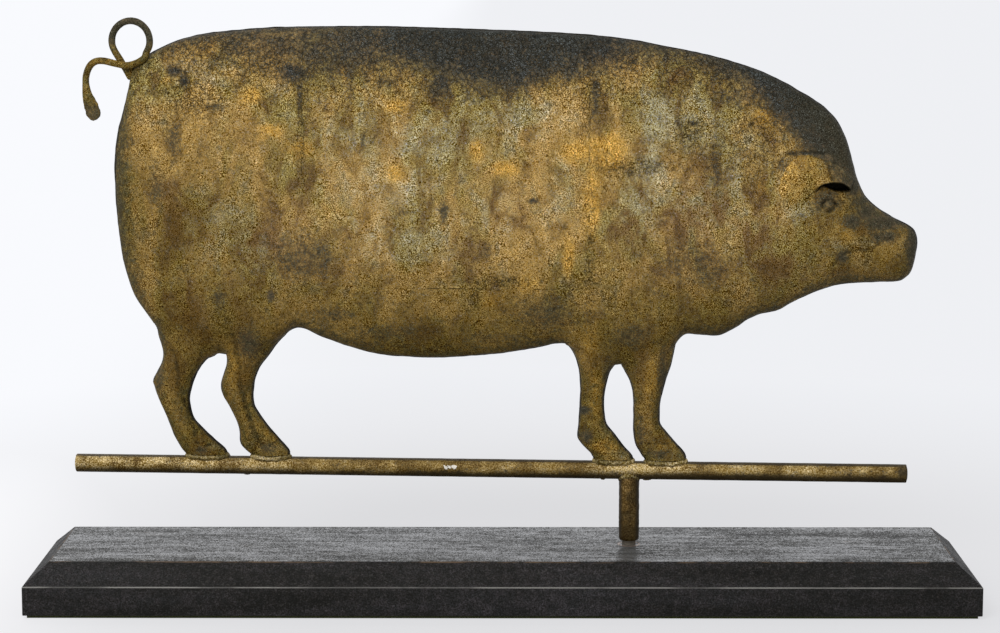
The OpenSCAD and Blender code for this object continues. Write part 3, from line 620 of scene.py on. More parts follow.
def lumps(name, balls, grain, wobble=0.0006):
    """Solder run together from balls, each (point in the vane's plane, radii), with a lumpy skin."""
    deselect()
    made = []
    for point, radii in balls:
        bpy.ops.mesh.primitive_ico_sphere_add(subdivisions=3, radius=MM, location=to_frame([point])[0])
        ball = bpy.context.object
        ball.scale = radii
        ball.rotation_euler = (0, 0, -REST_TURN)
        made.append(ball)
    for ball in made:
        ball.select_set(True)
    bpy.context.view_layer.objects.active = made[0]
    if len(made) > 1:
        bpy.ops.object.join()
    piece = bpy.context.object
    bpy.ops.object.transform_apply(location=True, rotation=True, scale=True)
    piece.name = piece.data.name = name
    modify(piece, "REMESH", mode="VOXEL", voxel_size=grain)
    modify(piece, "SMOOTH", factor=0.6, iterations=3)
    mesh = piece.data
    for v in mesh.vertices:
        v.co += v.normal * wobble * noise.fractal(v.co * 230, 0.7, 2.2, 3)
    mesh.update()
    bpy.ops.object.shade_smooth()
    return piece


def dress(piece, material):
    """Gives a piece its one material."""
    piece.data.materials.clear()
    piece.data.materials.append(material)


def finish_piece(piece, material, body, *nodes):
    """Gives a piece its material and its body, and hides the CAD nodes that it stands for."""
    dress(piece, material)
    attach(piece, body)
    if nodes:
        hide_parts(*nodes)


# Materials


class Shader:
    """The node tree of a material or of the world, with short ways to add and join its nodes."""

    def __init__(self, name, world=False):
        self.owner = (bpy.data.worlds if world else bpy.data.materials).new(name)
        self.owner.use_nodes = True
        self.tree = self.owner.node_tree
        self.tree.nodes.clear()

    def join(self, value, socket):
        """Joins an input to another node, or sets it."""
        if isinstance(value, bpy.types.NodeSocket):
            self.tree.links.new(value, socket)
        else:
            socket.default_value = value

    def add(self, kind, inputs=None, **settings):
        """Adds a node with its own settings and its inputs."""
        node = self.tree.nodes.new("ShaderNode" + kind)
        place = len(self.tree.nodes) - 1
        node.location = (place % 8 * 190 - 900, 300 - place // 8 * 260)
        for key, value in settings.items():
            setattr(node, key, value)
        for key, value in (inputs or {}).items():
            self.join(value, node.inputs[key])
        return node

    def math(self, operation, *values):
        """One step of arithmetic."""
        return self.add("Math", dict(enumerate(values)), operation=operation).outputs[0]

    def vector(self, operation, *values, out=0):
        """One step of arithmetic on a place or a colour."""
        return self.add("VectorMath", dict(enumerate(values)), operation=operation).outputs[out]

    def times(self, first, *rest):
        """Values multiplied together."""
        for value in rest:
            first = self.math("MULTIPLY", first, value)
        return first

    def most(self, first, *rest):
        """The greatest of some values."""
        for value in rest:
            first = self.math("MAXIMUM", first, value)
        return first

    def off(self, value, at):
        """How far a value is from a place."""
        return self.math("ABSOLUTE", self.math("SUBTRACT", value, at))

    def band(self, value, low, high, out_low=0.0, out_high=1.0):
        """A value brought smoothly from one range to another."""
        node = self.add("MapRange", {"Value": value, "From Min": low, "From Max": high, "To Min": out_low,
                                     "To Max": out_high}, interpolation_type="SMOOTHSTEP")
        return node.outputs[0]

    def noise(self, place, scale, detail=4.0, rough_share=0.6, stretch=0.0):
        """Noise of the given scale, in cycles a metre."""
        node = self.add("TexNoise", {"Vector": place, "Scale": scale, "Detail": detail,
                                     "Roughness": rough_share, "Distortion": stretch})
        return node.outputs["Fac"]

    def mix(self, share, a, b):
        """Two colours mixed."""
        node = self.add("Mix", {"Factor": share}, data_type="RGBA")
        for key, value in (("A", a), ("B", b)):
            socket = next(s for s in node.inputs if s.name == key and s.type == "RGBA")
            self.join(value if isinstance(value, bpy.types.NodeSocket) else (*value, 1.0), socket)
        return next(s for s in node.outputs if s.type == "RGBA")

    def sum(self, *terms, bias=0.0):
        """Values times their weights, added up."""
        total = bias
        for value, weight in terms:
            total = self.math("MULTIPLY_ADD", value, weight, total)
        return total

    def level(self, bias, *terms):
        """Shares and noises times their weights, with each noise's middle at nothing."""
        middle = sum(weight for value, weight in terms if value.node.bl_idname == "ShaderNodeTexNoise") / 2
        return self.sum(*terms, bias=bias - middle)

    def vary(self, colour, *terms, bias=0.0, warmth=1.0):
        """A colour made lighter and darker by noises, each with its weight in stops. Warmth makes the darks
        browner and the lights greyer."""
        stops = self.level(bias, *terms)
        stops = self.math("MULTIPLY_ADD", self.most(stops, 0.0), -0.45, stops)
        dark = self.math("MINIMUM", stops, 0.0)
        rise = []
        for in_dark, in_light in ((-0.22, -0.12), (0.02, 0.0), (1.85, 0.42)):
            bent = self.times(dark, (in_dark - in_light) * warmth)
            bent = self.math("MULTIPLY_ADD", stops, 1 + in_light * warmth, bent)
            rise.append(self.math("POWER", 2.0, bent))
        factor = self.add("CombineXYZ", dict(enumerate(rise))).outputs[0]
        return self.vector("MULTIPLY", colour, factor)

    def share(self, value, most):
        """A value kept from 0 to 1, with soft ends, times the most it may reach."""
        return self.band(value, 0.0, 1.0, 0.0, most)

    def mapping(self, place, **inputs):
        """A place moved, turned or stretched."""
        return self.add("Mapping", {"Vector": place, **inputs}).outputs[0]

    def place(self, turned=True):
        """Object coordinates, brought to the vane's own plane if turned."""
        out = self.add("TexCoord").outputs["Object"]
        if turned:
            out = self.mapping(out, Location=(-SPINDLE[0], -SPINDLE[1], -SOLE_Z))
            out = self.mapping(out, Rotation=(0, 0, REST_TURN))
        return out

    def axes(self, place):
        """The x, y and z of a place."""
        return self.add("SeparateXYZ", {"Vector": place}).outputs

    def seen(self):
        """1 for what the camera sees, also in reflections and through glass."""
        rays = self.add("LightPath").outputs
        return self.most(rays["Is Camera Ray"], rays["Is Glossy Ray"], rays["Is Transmission Ray"])

    def surface(self, colour, roughness, height, depth, metallic=0.0, specular=0.5):
        """The finished surface."""
        shader = self.add("BsdfPrincipled", {"Base Color": colour, "Roughness": roughness,
                                             "Metallic": metallic, "Specular IOR Level": specular})
        bump = self.add("Bump", {"Height": height, "Strength": 1.0, "Distance": depth})
        self.join(bump.outputs[0], shader.inputs["Normal"])
        self.join(shader.outputs[0], self.add("OutputMaterial").inputs["Surface"])
        return self.owner


def seam_mark(s, across, along, at, low, high, half):
    """A thin dark line where across is at, from low to high in the direction along, all in mm."""
    line = s.band(s.off(across, at * MM), half * MM, 0.0)
    span = s.times(s.band(along, (low - 4) * MM, (low + 4) * MM),
                   s.band(along, (high + 4) * MM, (high - 4) * MM))
    return s.times(line, span)


# Thin films of the patina that lie over its main colours
# EARTH and BROWN_BLACK follow the brown share, which is partly painted shade low down and over the head
EARTH = (0.16, 0.098, 0.011)
MURK = (0.075, 0.05, 0.016)
GREY_EDGE = (0.19, 0.165, 0.12)
GREEN_BLACK = (0.041, 0.045, 0.041)
THIN_BLACK = (0.05, 0.043, 0.027)
BROWN_BLACK = (0.043, 0.036, 0.015)


def copper_finish(name, colours, seams=False):
    """Copper with worn gilding: mottled ochre, olive, rose and pale bloom under a fine dark grain, a
    blue-black back, fine cracks, and soil in the creases. Painted shade darkens it low down, over the
    head and along the lower rim, and a painted shadow fills the ear's opening."""
    s = Shader(name)
    place = s.place()
    tall = s.mapping(place, Scale=(1.05, 1, 0.68))
    shares = []
    for key in ("patina", "bloom"):
        marks = s.add("Attribute", attribute_name=key).outputs
        shares += [*s.add("SeparateColor", {"Color": marks["Color"]}).outputs[:3], marks["Alpha"]]
    # back also holds painted shade along the lower rim; soil, the painted shadow in the ear's opening;
    # brown is partly a brown film and partly painted shade, low down and over the head
    back, soil, brown, gold, pale, rose, film, crackle = shares
    broad = s.noise(tall, 17, 4, 0.6, 0.5)
    other = s.noise(tall, 38, 4, 0.6, 0.8)
    middle = s.noise(place, 80, 4, 0.62, 0.4)
    small = s.noise(place, 190, 3, 0.62)
    fine = s.noise(place, 400, 2, 0.6)
    grain = s.noise(place, 1050, 1, 0.5)

    # the gilding and its films, each one laid over the last
    tone = s.mix(s.band(broad, 0.38, 0.6), colours.olive, colours.ochre)
    clouds = s.level(0.08, (rose, 0.95), (other, 3.2), (broad, -2.2), (small, 0.8))
    tone = s.mix(s.share(clouds, 0.9), tone, colours.rose)
    bloom = s.level(-0.02, (pale, 1.15), (brown, -0.2), (middle, 2.0), (other, -2.2), (fine, 1.0))
    tone = s.mix(s.share(bloom, 0.9), tone, colours.pale)
    gilt = s.level(-0.1, (gold, 1.5), (middle, 1.6), (broad, 2.2), (fine, 1.2))
    tone = s.mix(s.share(gilt, 0.95), tone, colours.gold)
    # earth brown where brown is high: partly a brown film, partly painted shade low down and over the head
    tone = s.mix(s.times(brown, 0.72), tone, EARTH)
    murk = s.level(-0.12, (brown, 0.26), (other, -3.4), (middle, 2.0), (small, 1.3), (fine, 1.6))
    tone = s.mix(s.share(murk, 0.7), tone, MURK)
    edge = s.level(-0.1, (film, 1.0), (small, 1.4), (middle, 1.2))
    tone = s.mix(s.share(edge, 0.85), tone, colours.green)

    # light and dark over all of it, then the fine dark specks
    swing = s.times(brown, s.level(0.0, (other, 3.0), (middle, 3.0), (broad, 2.0)))
    tone = s.vary(tone, (broad, 2.4), (other, 3.2), (middle, 3.2), (small, 2.2), (fine, 1.4), (grain, 20.0),
                  (swing, 1.0), bias=0.16)
    specks = s.level(-0.03, (brown, 0.12), (fine, 1.3), (grain, 5.0), (small, 1.0), (middle, 1.6),
                     (other, 3.2))
    tone = s.mix(s.band(specks, 0.2, 0.75, 0, 0.8), tone, colours.umber)

    # the blue-black, solid along the back and broken at its edge, and the painted shade along the lower rim
    tone = s.mix(s.band(back, 0.1, 0.9, 0, 0.55), tone, GREY_EDGE)
    black = s.mix(s.band(other, 0.42, 0.6), colours.blue_black, GREEN_BLACK)
    black = s.mix(s.band(back, 0.85, 0.4), black, THIN_BLACK)
    black = s.mix(s.times(brown, 0.9), black, BROWN_BLACK)
    black = s.vary(black, (other, 2.0), (middle, 2.4), (small, 3.0), (fine, 4.0), (grain, 17.0), bias=-0.1,
                   warmth=0.2)
    ragged = s.level(0.0, (back, 1.3), (other, 1.4), (middle, 1.5), (small, 1.8), (fine, 2.0), (grain, 4.0))
    ragged = s.times(s.band(ragged, 0.36, 0.8, 0, 0.94), s.band(back, 0.02, 0.35, 0.05, 1.0))
    tone = s.mix(ragged, tone, black)

    # cracks in two sizes, soil in the creases, the painted shadow in the ear's opening, and the seams
    wander = s.add("TexNoise", {"Vector": place, "Scale": 120, "Detail": 3}).outputs["Color"]
    warped = s.vector("MULTIPLY_ADD", wander, (0.012, 0.012, 0.012), place)
    marks = []
    for scale, wide, least, most in ((62, 0.045, -0.2, 0.9), (210, 0.09, 0.22, 0.75)):
        cells = s.add("TexVoronoi", {"Vector": warped, "Scale": scale}, feature="DISTANCE_TO_EDGE")
        line = s.band(cells.outputs["Distance"], wide, wide * 0.25)
        broken = s.share(s.level(least, (crackle, 1.0), (other, 1.2), (small, 1.4)), most)
        marks.append(s.times(line, broken))
    rubbed = s.sum((soil, 1.0), (small, 0.9), bias=-0.45)
    marks.append(s.times(s.band(soil, 0.02, 0.3), s.band(rubbed, 0.0, 0.85)))
    if seams:
        x, _, z = s.axes(place)
        lines = s.most(
            seam_mark(s, x, z, HIND_SEAM, 262, 430, 0.9), seam_mark(s, x, z, FORE_SEAM, 150, 430, 1.0),
            seam_mark(s, z, x, BELLY_SEAM, -285, -45, 0.8), seam_mark(s, z, x, 302, -36, 48, 0.9),
        )
        marks.append(s.times(lines, s.band(s.noise(place, 60, 4, 0.7), 0.47, 0.6), 0.8))
    dirt = s.most(*marks)
    tone = s.mix(s.math("MINIMUM", dirt, 1.0), tone, colours.soil)

    height = s.sum((fine, -0.5), (grain, -0.3), (small, 0.5), (dirt, -0.5))
    return s.surface(tone, s.band(fine, 0.3, 0.7, 0.46, 0.68), height, 0.0016,
                     s.band(dirt, 0.1, 0.5, 0.04, 0.0), 0.05)


# Low, middle and bright colours of the crossbar, the solder and the socket
BAR_TONES = ((0.17, 0.108, 0.03), (0.31, 0.208, 0.066), (0.5, 0.365, 0.155))
SOLDER_TONES = ((0.16, 0.125, 0.05), (0.3, 0.225, 0.09), (0.6, 0.45, 0.2))
SOCKET_TONES = ((0.06, 0.038, 0.011), (0.13, 0.077, 0.02), (0.36, 0.215, 0.06))
SHADE = (0.024, 0.016, 0.005)
PIT = (0.022, 0.013, 0.003)
OLD_LEAD = (0.03, 0.027, 0.022)
WHITE_PAINT = (0.78, 0.74, 0.66)


def pitted_finish(name, tones, round_about, dull=0.0, patches=(), flecks=()):
    """Brass or solder with worn gilding, fine pits and painted shade. round_about turns x and z on the
    vane into the share of painted shade: 0 where it is lit and 1 where it goes dark."""
    s = Shader(name)
    place = s.place()
    x, _, z = s.axes(place)
    broad = s.noise(place, 30, 4, 0.6, 0.4)
    blots = s.noise(s.mapping(place, Scale=(0.4, 1, 1)), 150, 4, 0.65)
    fine = s.noise(place, 400, 2, 0.6)
    grain = s.noise(place, 760, 1, 0.5)
    low, middle, bright = tones
    tone = s.mix(s.band(broad, 0.4, 0.6), low, middle)
    warm = s.level(0.0, (broad, 1.5), (blots, 1.5), (fine, 1.6), (grain, 0.8))
    for at, half in patches:
        near = s.band(s.off(x, at * MM), half * MM, half * 0.3 * MM, 0, 0.27)
        warm = s.math("ADD", warm, near)
    tone = s.mix(s.band(warm, 0.1, 0.6), tone, bright)
    tone = s.vary(tone, (broad, 2.6), (blots, 3.6), (fine, 2.4), (grain, 9.0), bias=0.07)
    # painted shade, broken up by the blots and the fine noise
    shade = s.level(0.0, (round_about(s, x, z), 1.0), (blots, 0.9), (fine, 0.6))
    tone = s.mix(s.band(shade, 0.15, 0.95, 0, 0.93), tone, SHADE)
    pits = s.level(0.0, (blots, 1.4), (fine, 2.2), (grain, 1.4))
    tone = s.mix(s.band(pits, 0.26, 0.5, 0, 0.85), tone, PIT)
    for at, half in flecks:
        away = s.vector("SUBTRACT", place, [v * MM for v in at])
        away = s.vector("LENGTH", s.vector("MULTIPLY", away, [1 / MM / v for v in half]), out="Value")
        tone = s.mix(s.band(s.level(0.0, (away, 1.0), (fine, 3.0)), 1.05, 0.8, 0, 0.9), tone, WHITE_PAINT)
    tone = s.mix(dull, tone, OLD_LEAD)
    height = s.sum((blots, -0.5), (fine, -0.4), (grain, -0.2))
    return s.surface(tone, s.band(fine, 0.3, 0.7, 0.42, 0.64), height, 0.0014,
                     s.band(shade, 0.2, 0.8, 0.22, 0.0), 0.16)


def bar_finish(name, dull=0.0):
    """Worn golden brass with painted shade, browner and darker towards the underside, and a thin dark line
    along the top.
    """
    def about(s, x, z):
        # it also darkens a thin line along the top and the last few mm at the front end
        # painted shade: darker towards the underside, lighter towards the back end, darker towards the front
        # end;
        up = s.times(s.math("SUBTRACT", z, BAR_Z), 1 / 0.0095)
        dark = s.most(s.band(up, 0.5, -0.8), s.band(x, 0.268, 0.276, 0, 0.75), s.band(up, 0.72, 0.92))
        return s.math("ADD", dark, s.band(x, -0.35, 0.12, -0.12, 0.12))
    near = [(-545, 56), (-490, 50), (0, 34)]
    near += [((leg["back"][0][1] + leg["front"][0][1]) / 2, 46) for leg in LEGS.values()]
    # two chips of white paint on the front
    flecks = (((-187, -9, BAR_MM + 2), (3.6, 9, 1.8)), ((-179.5, -9, BAR_MM + 2.5), (2.6, 9, 1.6)))
    return pitted_finish(name, BAR_TONES, about, dull, near, flecks)


def solder_finish(name):
    """Lumpy solder, gilded over, with pale olive and dark hollows, and painted shade from 12 mm to 24 mm
    below the soles, where it hangs under the bar.
    """
    return pitted_finish(name, SOLDER_TONES, lambda s, x, z: s.band(z, -0.012, -0.024, 0, 0.8))


def socket_finish(name):
    """Brown tube with painted shade at both sides as seen from the front, and crusted with gold at the top.
    """
    return pitted_finish(name, SOCKET_TONES, lambda s, x, z: s.band(s.off(x, 0), 0.004, 0.0102, 0.05, 1.0))


RUST = (0.09, 0.045, 0.02)


def steel_finish(name, colour, roughness):
    """Dull steel with faint turning marks and a little rust."""
    s = Shader(name)
    place = s.place(turned=False)
    mark = s.noise(s.mapping(place, Scale=(1, 1, 40)), 60, 3, 0.5)
    tone = s.mix(s.band(mark, 0.35, 0.65), colour, [c * 1.5 for c in colour])
    tone = s.mix(s.band(s.noise(place, 220, 5, 0.6), 0.55, 0.66, 0, 0.7), tone, RUST)
    return s.surface(tone, s.band(mark, 0.3, 0.7, roughness - 0.08, roughness + 0.1), mark, 0.0003, 0.9)


# The board's top: black paint and the grey film on it, bare dents, and the ring that the socket has worn
TOP_BLACK = (0.034, 0.034, 0.033)
TOP_GREY = (0.085, 0.085, 0.084)
DENT = (0.012, 0.011, 0.011)
WORN_RING = (0.36, 0.24, 0.17)
RING_RADIUS = 0.0107
# Its sides: thin paint, dust, and the pale line along the foot of the bevel
THIN_PAINT = (0.018, 0.016, 0.0155)
DUST = (0.075, 0.07, 0.06)
PALE_LINE = (0.26, 0.25, 0.23)
BEVEL_DROP = 0.021
BEVEL_RUN = 0.024


def paint_finish(name, look, top):
    """Black paint over wood, with grain streaks, dents and dust. The top is glossier than the sides, whose
    edges are rubbed to the wood."""
    s = Shader(name)
    place = s.place(turned=False)
    drawn = s.mapping(place, Scale=(0.16, 1, 1))
    streak = s.noise(drawn, 130, 6, 0.65)
    wide = s.noise(drawn, 34, 4, 0.6)
    mottle = s.noise(place, 120, 5, 0.65)
    fine = s.noise(place, 420, 2, 0.6)
    dots = s.noise(place, 760, 1, 0.5)
    height = s.sum((streak, 0.6), (mottle, 0.4))

    if top:
        tone = s.mix(s.band(streak, 0.4, 0.62), TOP_BLACK, TOP_GREY)
        tone = s.vary(tone, (streak, 3.0), (wide, 10.0), (mottle, 7.0), (fine, 5.0), (dots, 11.0),
                      warmth=0.1)
        dents = s.level(0.0, (mottle, 2.0), (fine, 1.4), (wide, 1.6))
        tone = s.mix(s.band(dents, 0.34, 0.5, 0, 0.8), tone, DENT)
        tone = s.mix(s.band(streak, 0.62, 0.72, 0, 0.5), tone, look.wear)
        flat = s.vector("MULTIPLY", s.mapping(place, Location=(-SPINDLE[0], -SPINDLE[1], 0)), (1, 1, 0))
        ring = s.band(s.off(s.vector("LENGTH", flat, out="Value"), RING_RADIUS), 0.0014, 0.0004)
        tone = s.mix(s.times(ring, s.band(mottle, 0.35, 0.55, 0.35, 1.0)), tone, WORN_RING)
        gloss = s.level(0.0, (streak, 0.8), (wide, 1.5), (mottle, 1.5), (fine, 1.6), (dots, 3.0))
        return s.surface(tone, s.band(gloss, -0.34, 0.34, 0.85, 0.12), height, 0.0012, specular=0.68)

    tone = s.mix(s.band(mottle, 0.42, 0.6), look.paint, THIN_PAINT)
    tone = s.vary(tone, (wide, 8.0), (mottle, 4.0), (fine, 4.0), (dots, 10.0), bias=0.15, warmth=0.2)
    tone = s.mix(s.band(fine, 0.6, 0.68, 0, 0.35), tone, DUST)
    z = s.axes(place)[2]
    for below, wear, half, broken, colour in (
        (BEVEL_DROP, (90, 4, 0.6), 0.0009, (0.38, 0.56, 0.3, 0.95), PALE_LINE),
        (0.0004, (160, 5, 0.65), 0.001, (0.46, 0.6, 0, 0.85), look.wear),
    ):
        line = s.band(s.off(z, BOARD_HIGH[2] - below), half, 0.0002)
        tone = s.mix(s.times(line, s.band(s.noise(drawn, *wear), *broken)), tone, colour)
    return s.surface(tone, s.level(0.62, (wide, 0.9), (mottle, 0.7)), height, 0.0012, specular=0.14)


def felt_finish(name, look):
    """Green felt with a nap."""
    s = Shader(name)
    nap = s.noise(s.place(turned=False), 900, 4, 0.8)
    tone = s.mix(s.band(nap, 0.35, 0.65), [c * 0.5 for c in look.felt], [c * 1.7 for c in look.felt])
    return s.surface(tone, 0.95, nap, 0.001, specular=0.1)


# Operators


class VaneStep(Operator):
    """Common ground of the operators that make the vane."""

    bl_options = {"REGISTER", "UNDO"}


SIDES = {"near": -1, "far": 1}
# Edges of the sheets sharper than this stay sharp
CREASE = math.radians(50)


def lay_sheet(name, node, sign, size, skin, thickness, metal, lip=0.0):
    """A copper sheet on one side of the vane, with a rounded edge if lip is given. size is its columns and
    rows. skin turns shares of it into x, z, half thickness and patina, and runs from rump to snout."""
    def place(s, t):
        x, z, h, shares = skin(s if sign < 0 else 1 - s, t)
        return np.stack([x, sign * h, z], 1), shares

    piece = laid_grid(name, *size, place)
    modify(piece, "SOLIDIFY", thickness=thickness, offset=-1, use_even_offset=False)
    if lip:
        modify(piece, "BEVEL", width=lip, segments=2, limit_method="ANGLE", angle_limit=CREASE)
        bpy.ops.object.shade_smooth()
    else:
        bpy.ops.object.shade_smooth_by_angle(angle=CREASE)
    finish_piece(piece, metal, "vane", node)


def spaced(*stretches):
    """Stops along a line. A stretch is (from, to, how many, crowding at its start or its end)."""
    out = []
    for a, b, n, crowd in stretches:
        t = np.arange(n) / n
        t = t**1.7 if crowd == "start" else 1 - (1 - t) ** 1.7 if crowd == "end" else t
        out.append(a + (b - a) * t)
    return np.concatenate(out + [[stretches[-1][1]]])


# Each sheet's rows and the stretches of its columns
SHEETS = {
    "hindquarter": (110, (RUMP_X + END_TRIM, -489, 22, "start"), (-489, HIND_SEAM, 54, "")),
    "flank": (72, (HIND_SEAM, FORE_SEAM, 92, "")),
    "belly": (40, (HIND_SEAM, FORE_SEAM, 92, "")),
    "forequarter": (124, (FORE_SEAM, 140, 60, ""), (140, 262, 92, ""), (262, SNOUT_X - END_TRIM, 24, "end")),
}


def column_height(part, x, t):
    """Height of row t of a sheet at x, crowded where the sheet rolls over to its other half's seam."""
    low, high = along(UNDER, x), along(BACK, x)
    if part == "flank":
        return BELLY_SEAM + (high - BELLY_SEAM) * (0.5 * np.sin(math.pi / 2 * t) + 0.5 * t)
    if part == "belly":
        return low + (BELLY_SEAM - low) * (0.5 * (1 - np.cos(math.pi / 2 * t)) + 0.5 * t)
    tall = 0.6 * np.clip((high - low - 60) / 100, 0, 1)
    return low + (high - low) * (t + (0.5 - t - 0.5 * np.cos(math.pi * t)) * tall)


class VANE_OT_body_sheets(VaneStep):
    """Makes the four hammered sheets of the body on each side"""

    bl_idname = "vane.body_sheets"
    bl_label = "Body Sheets"

    def execute(self, context):
        """Lays a grid on the shape for each sheet and gives it the sheet's thickness."""
        sizes = context.scene.pig_sizes
        copper = copper_finish("weathered_copper", context.scene.pig_colours, seams=True)
        for part, (rows, *stretches) in SHEETS.items():
            stops = spaced(*stretches)
            last = len(stops) - 1

            def skin(share, t):
                x = stops[np.rint(share * last).astype(int)]
                z = column_height(part, x, t)
                h, groove = shape(x, z, sizes)
                return x, z, h, patina(x, z, h, groove)

            for side, sign in SIDES.items():
                node = f"{side}_{part}"
                lay_sheet(f"{node}_sheet", node, sign, (last, rows), skin, sizes.sheet, copper)
        return {"FINISHED"}


class VANE_OT_legs(VaneStep):
    """Makes both halves of the four legs"""

    bl_idname = "vane.legs"
    bl_label = "Legs"

    def execute(self, context):
        """Lays a grid on each leg from the joint line down to the sole."""
        sizes = context.scene.pig_sizes
        copper = copper_finish("leg_copper", context.scene.pig_colours)
        for name, leg in LEGS.items():

            def skin(share, t):
                back_z, front_z = (height * t for height in leg["joint"])
                back_x, front_x = along(EDGES[name]["back"], back_z), along(EDGES[name]["front"], front_z)
                u = (1 - np.cos(math.pi * share)) / 2
                x = back_x + (front_x - back_x) * u
                z = back_z + (front_z - back_z) * u + leg["arch"] * 4 * u * (1 - u) * t**3
                h, groove = shape(x, z, sizes)
                h = np.where((share < 1e-6) | (share > 1 - 1e-6), 0, h)
                shares = patina(x, z, h, groove, rim=7.5)
                # brown all over the legs: partly a brown film, partly painted shade low down
                shares[:, 2] = 0.85 if "hind" in name else 0.68
                return x, z, h, shares

            for side, sign in SIDES.items():
                node = f"{name}_{side}"
                lay_sheet(f"{node}_sheet", node, sign, (30, 72), skin, sizes.sheet * 0.8, copper)
        return {"FINISHED"}


# The ear is a hood, soldered on along its upper edge and open forwards and down.
# Each rung is (point on the soldered edge, point on the lower lip, share of the lip's lift there).
EAR_RUNGS = (
    (144, 283, 147, 272, 0), (149, 296, 151, 266, 0), (156, 307, 158, 263, 0), (166, 314, 167, 265, 0),
    (178, 315, 176, 273, 0.06), (190, 311, 186, 283, 0.3), (201, 307, 195, 287.5, 0.8),
    (210, 303, 206, 288.5, 1), (218, 297, 213, 286, 0.8), (223, 290, 219, 281, 0.3),
)

# The crease down the hood and the worn ridge along its top
EAR_FOLD = ((196, 306), (198, 298), (200, 291))
EAR_RIDGE = ((196, 309), (204, 306), (211, 300), (217, 292))


def ear_skin(s, t, sizes):
    """Point of the ear's outer skin: s runs along it, t from the soldered edge to the lip."""
    rungs = np.array(EAR_RUNGS, float)
    stop = np.arange(len(rungs))
    ax, az, bx, bz, lift = (
        np.interp(s * stop[-1], *smooth_line(np.stack([stop, column], 1)).T) for column in rungs.T
    )
    x, z = ax + (bx - ax) * t, az + (bz - az) * t
    h, _ = shape(x, z, sizes, fine=False)
    lift = np.clip(lift, 0, 1)
    dome = 3.6 * np.sin(math.pi * t) * np.sin(math.pi * s)
    fold = -1.2 * np.exp(-((near_path(x, z, EAR_FOLD) / 1.8) ** 2)) * np.clip(4 * t, 0, 1)
    ridge = 1.1 * np.exp(-((near_path(x, z, EAR_RIDGE) / 1.5) ** 2))
    sunk = -0.5 + 1.8 * soft_step(t, 0, 0.15) * soft_step(lift, 0, 0.4)
    rise = sunk + sizes.ear_lift / MM * lift * t**2 + dome + fold + ridge
    return x, z, h + rise + 0.35 * rough(x, z, 11, 5.0)


class VANE_OT_ears(VaneStep):
    """Makes the folded ears"""

    bl_idname = "vane.ears"
    bl_label = "Ears"

    def execute(self, context):
        """Lays the hood on each side of the head."""
        sizes = context.scene.pig_sizes
        copper = copper_finish("ear_copper", context.scene.pig_colours)

        def skin(share, t):
            s = 1 - share
            x, z, h = ear_skin(s, t, sizes)
            shares = patina(x, z, np.full_like(x, 30.0), np.zeros_like(x))
            shares[:, 0] = 0.6 * soft_step(x + 0.5 * (z - 300), 186, 206)
            crease = 0.55 * np.exp(-((near_path(x, z, EAR_FOLD) / 1.7) ** 2))
            border = 0.5 * np.exp(-((np.minimum(t, np.minimum(s, 1 - s) * 3) / 0.05) ** 2))
            # painted shade along the lifted front of the lip, over the opening
            lip = 0.7 * soft_step(t, 0.95, 1.0) * soft_step(s, 0.5, 0.6)
            shares[:, 1] = np.maximum(np.maximum(crease, border), lip)
            shares[:, 3] = 0.35 * (1 - soft_step(x, 180, 196))
            shares[:, 4] = 0.9 * np.exp(-((near_path(x, z, EAR_RIDGE) / 1.6) ** 2))
            shares[:, 5] = 0.1
            return x, z, h, shares

        for side, sign in SIDES.items():
            node = f"{side}_ear"
            lay_sheet(f"{node}_hood", node, sign, (54, 26), skin, sizes.sheet * 1.1, copper, lip=0.00035)
        return {"FINISHED"}


def outline_paths():
    """The pig's outline in stretches between the soles, as points of its plane."""
    def edge(name, side):
        z = np.linspace(0.5, LEGS[name]["joint"][0 if side == "back" else 1], 40)
        return np.stack([along(EDGES[name][side], z), z], 1)

    back, chest, belly = (smooth_line(line, 8) for line in (BACK_LINE, CHEST_LINE, BELLY_LINE))
    rump = smooth_line(RUMP_LINE, 6)
    stretches = {
        "outer": (edge("hind_leg_back", "back"), rump[::-1][1:], back[1:], chest[::-1][1:],
                  edge("foreleg_front", "front")[::-1][1:]),
        "belly": (edge("hind_leg_front", "front"), belly[1:], edge("foreleg_back", "back")[::-1][1:]),
        "hind_arch": (edge("hind_leg_back", "front"), edge("hind_leg_front", "back")[::-1]),
        "fore_arch": (edge("foreleg_back", "front"), edge("foreleg_front", "back")[::-1]),
    }
    return {name: np.concatenate(parts) for name, parts in stretches.items()}


def even_steps(path, step):
    """A path's points at even steps along it."""
    run = np.concatenate([[0], np.cumsum(np.linalg.norm(np.diff(path, axis=0), axis=1))])
    at = np.linspace(0, run[-1], int(run[-1] / step))
    return np.stack([np.interp(at, run, axis) for axis in path.T], 1)


class VANE_OT_rim_seam(VaneStep):
    """Runs the solder bead along the seam between the two halves"""

    bl_idname = "vane.rim_seam"
    bl_label = "Rim Seam"

    def execute(self, context):
        """Lays an uneven bead on each stretch of the outline."""
        sizes = context.scene.pig_sizes
        copper = copper_finish("rim_copper", context.scene.pig_colours)
        for name, path in outline_paths().items():
            flat = even_steps(path, 2.2)
            step = np.gradient(flat, axis=0)
            step /= np.linalg.norm(step, axis=1)[:, None]
            inward = np.stack([step[:, 1], -step[:, 0]], 1)
            if name != "outer":
                inward = -inward
            radius = sizes.rim_bead / MM * (1 + 0.35 * rough(*flat.T, 13, 2.0))
            radius[0] = radius[-1] = 0
            x, z = (flat + inward * 0.62).T
            path = np.stack([x, np.zeros_like(x), z], 1)
            piece = tube(f"rim_seam_{name}", path, np.stack([radius, radius * 1.25], 1), around=10)
            even_patina(piece, 0.3, 1.1, 0.8, 0, 0, 0, 0.3, 0)
            finish_piece(piece, copper, "vane")
        return {"FINISHED"}


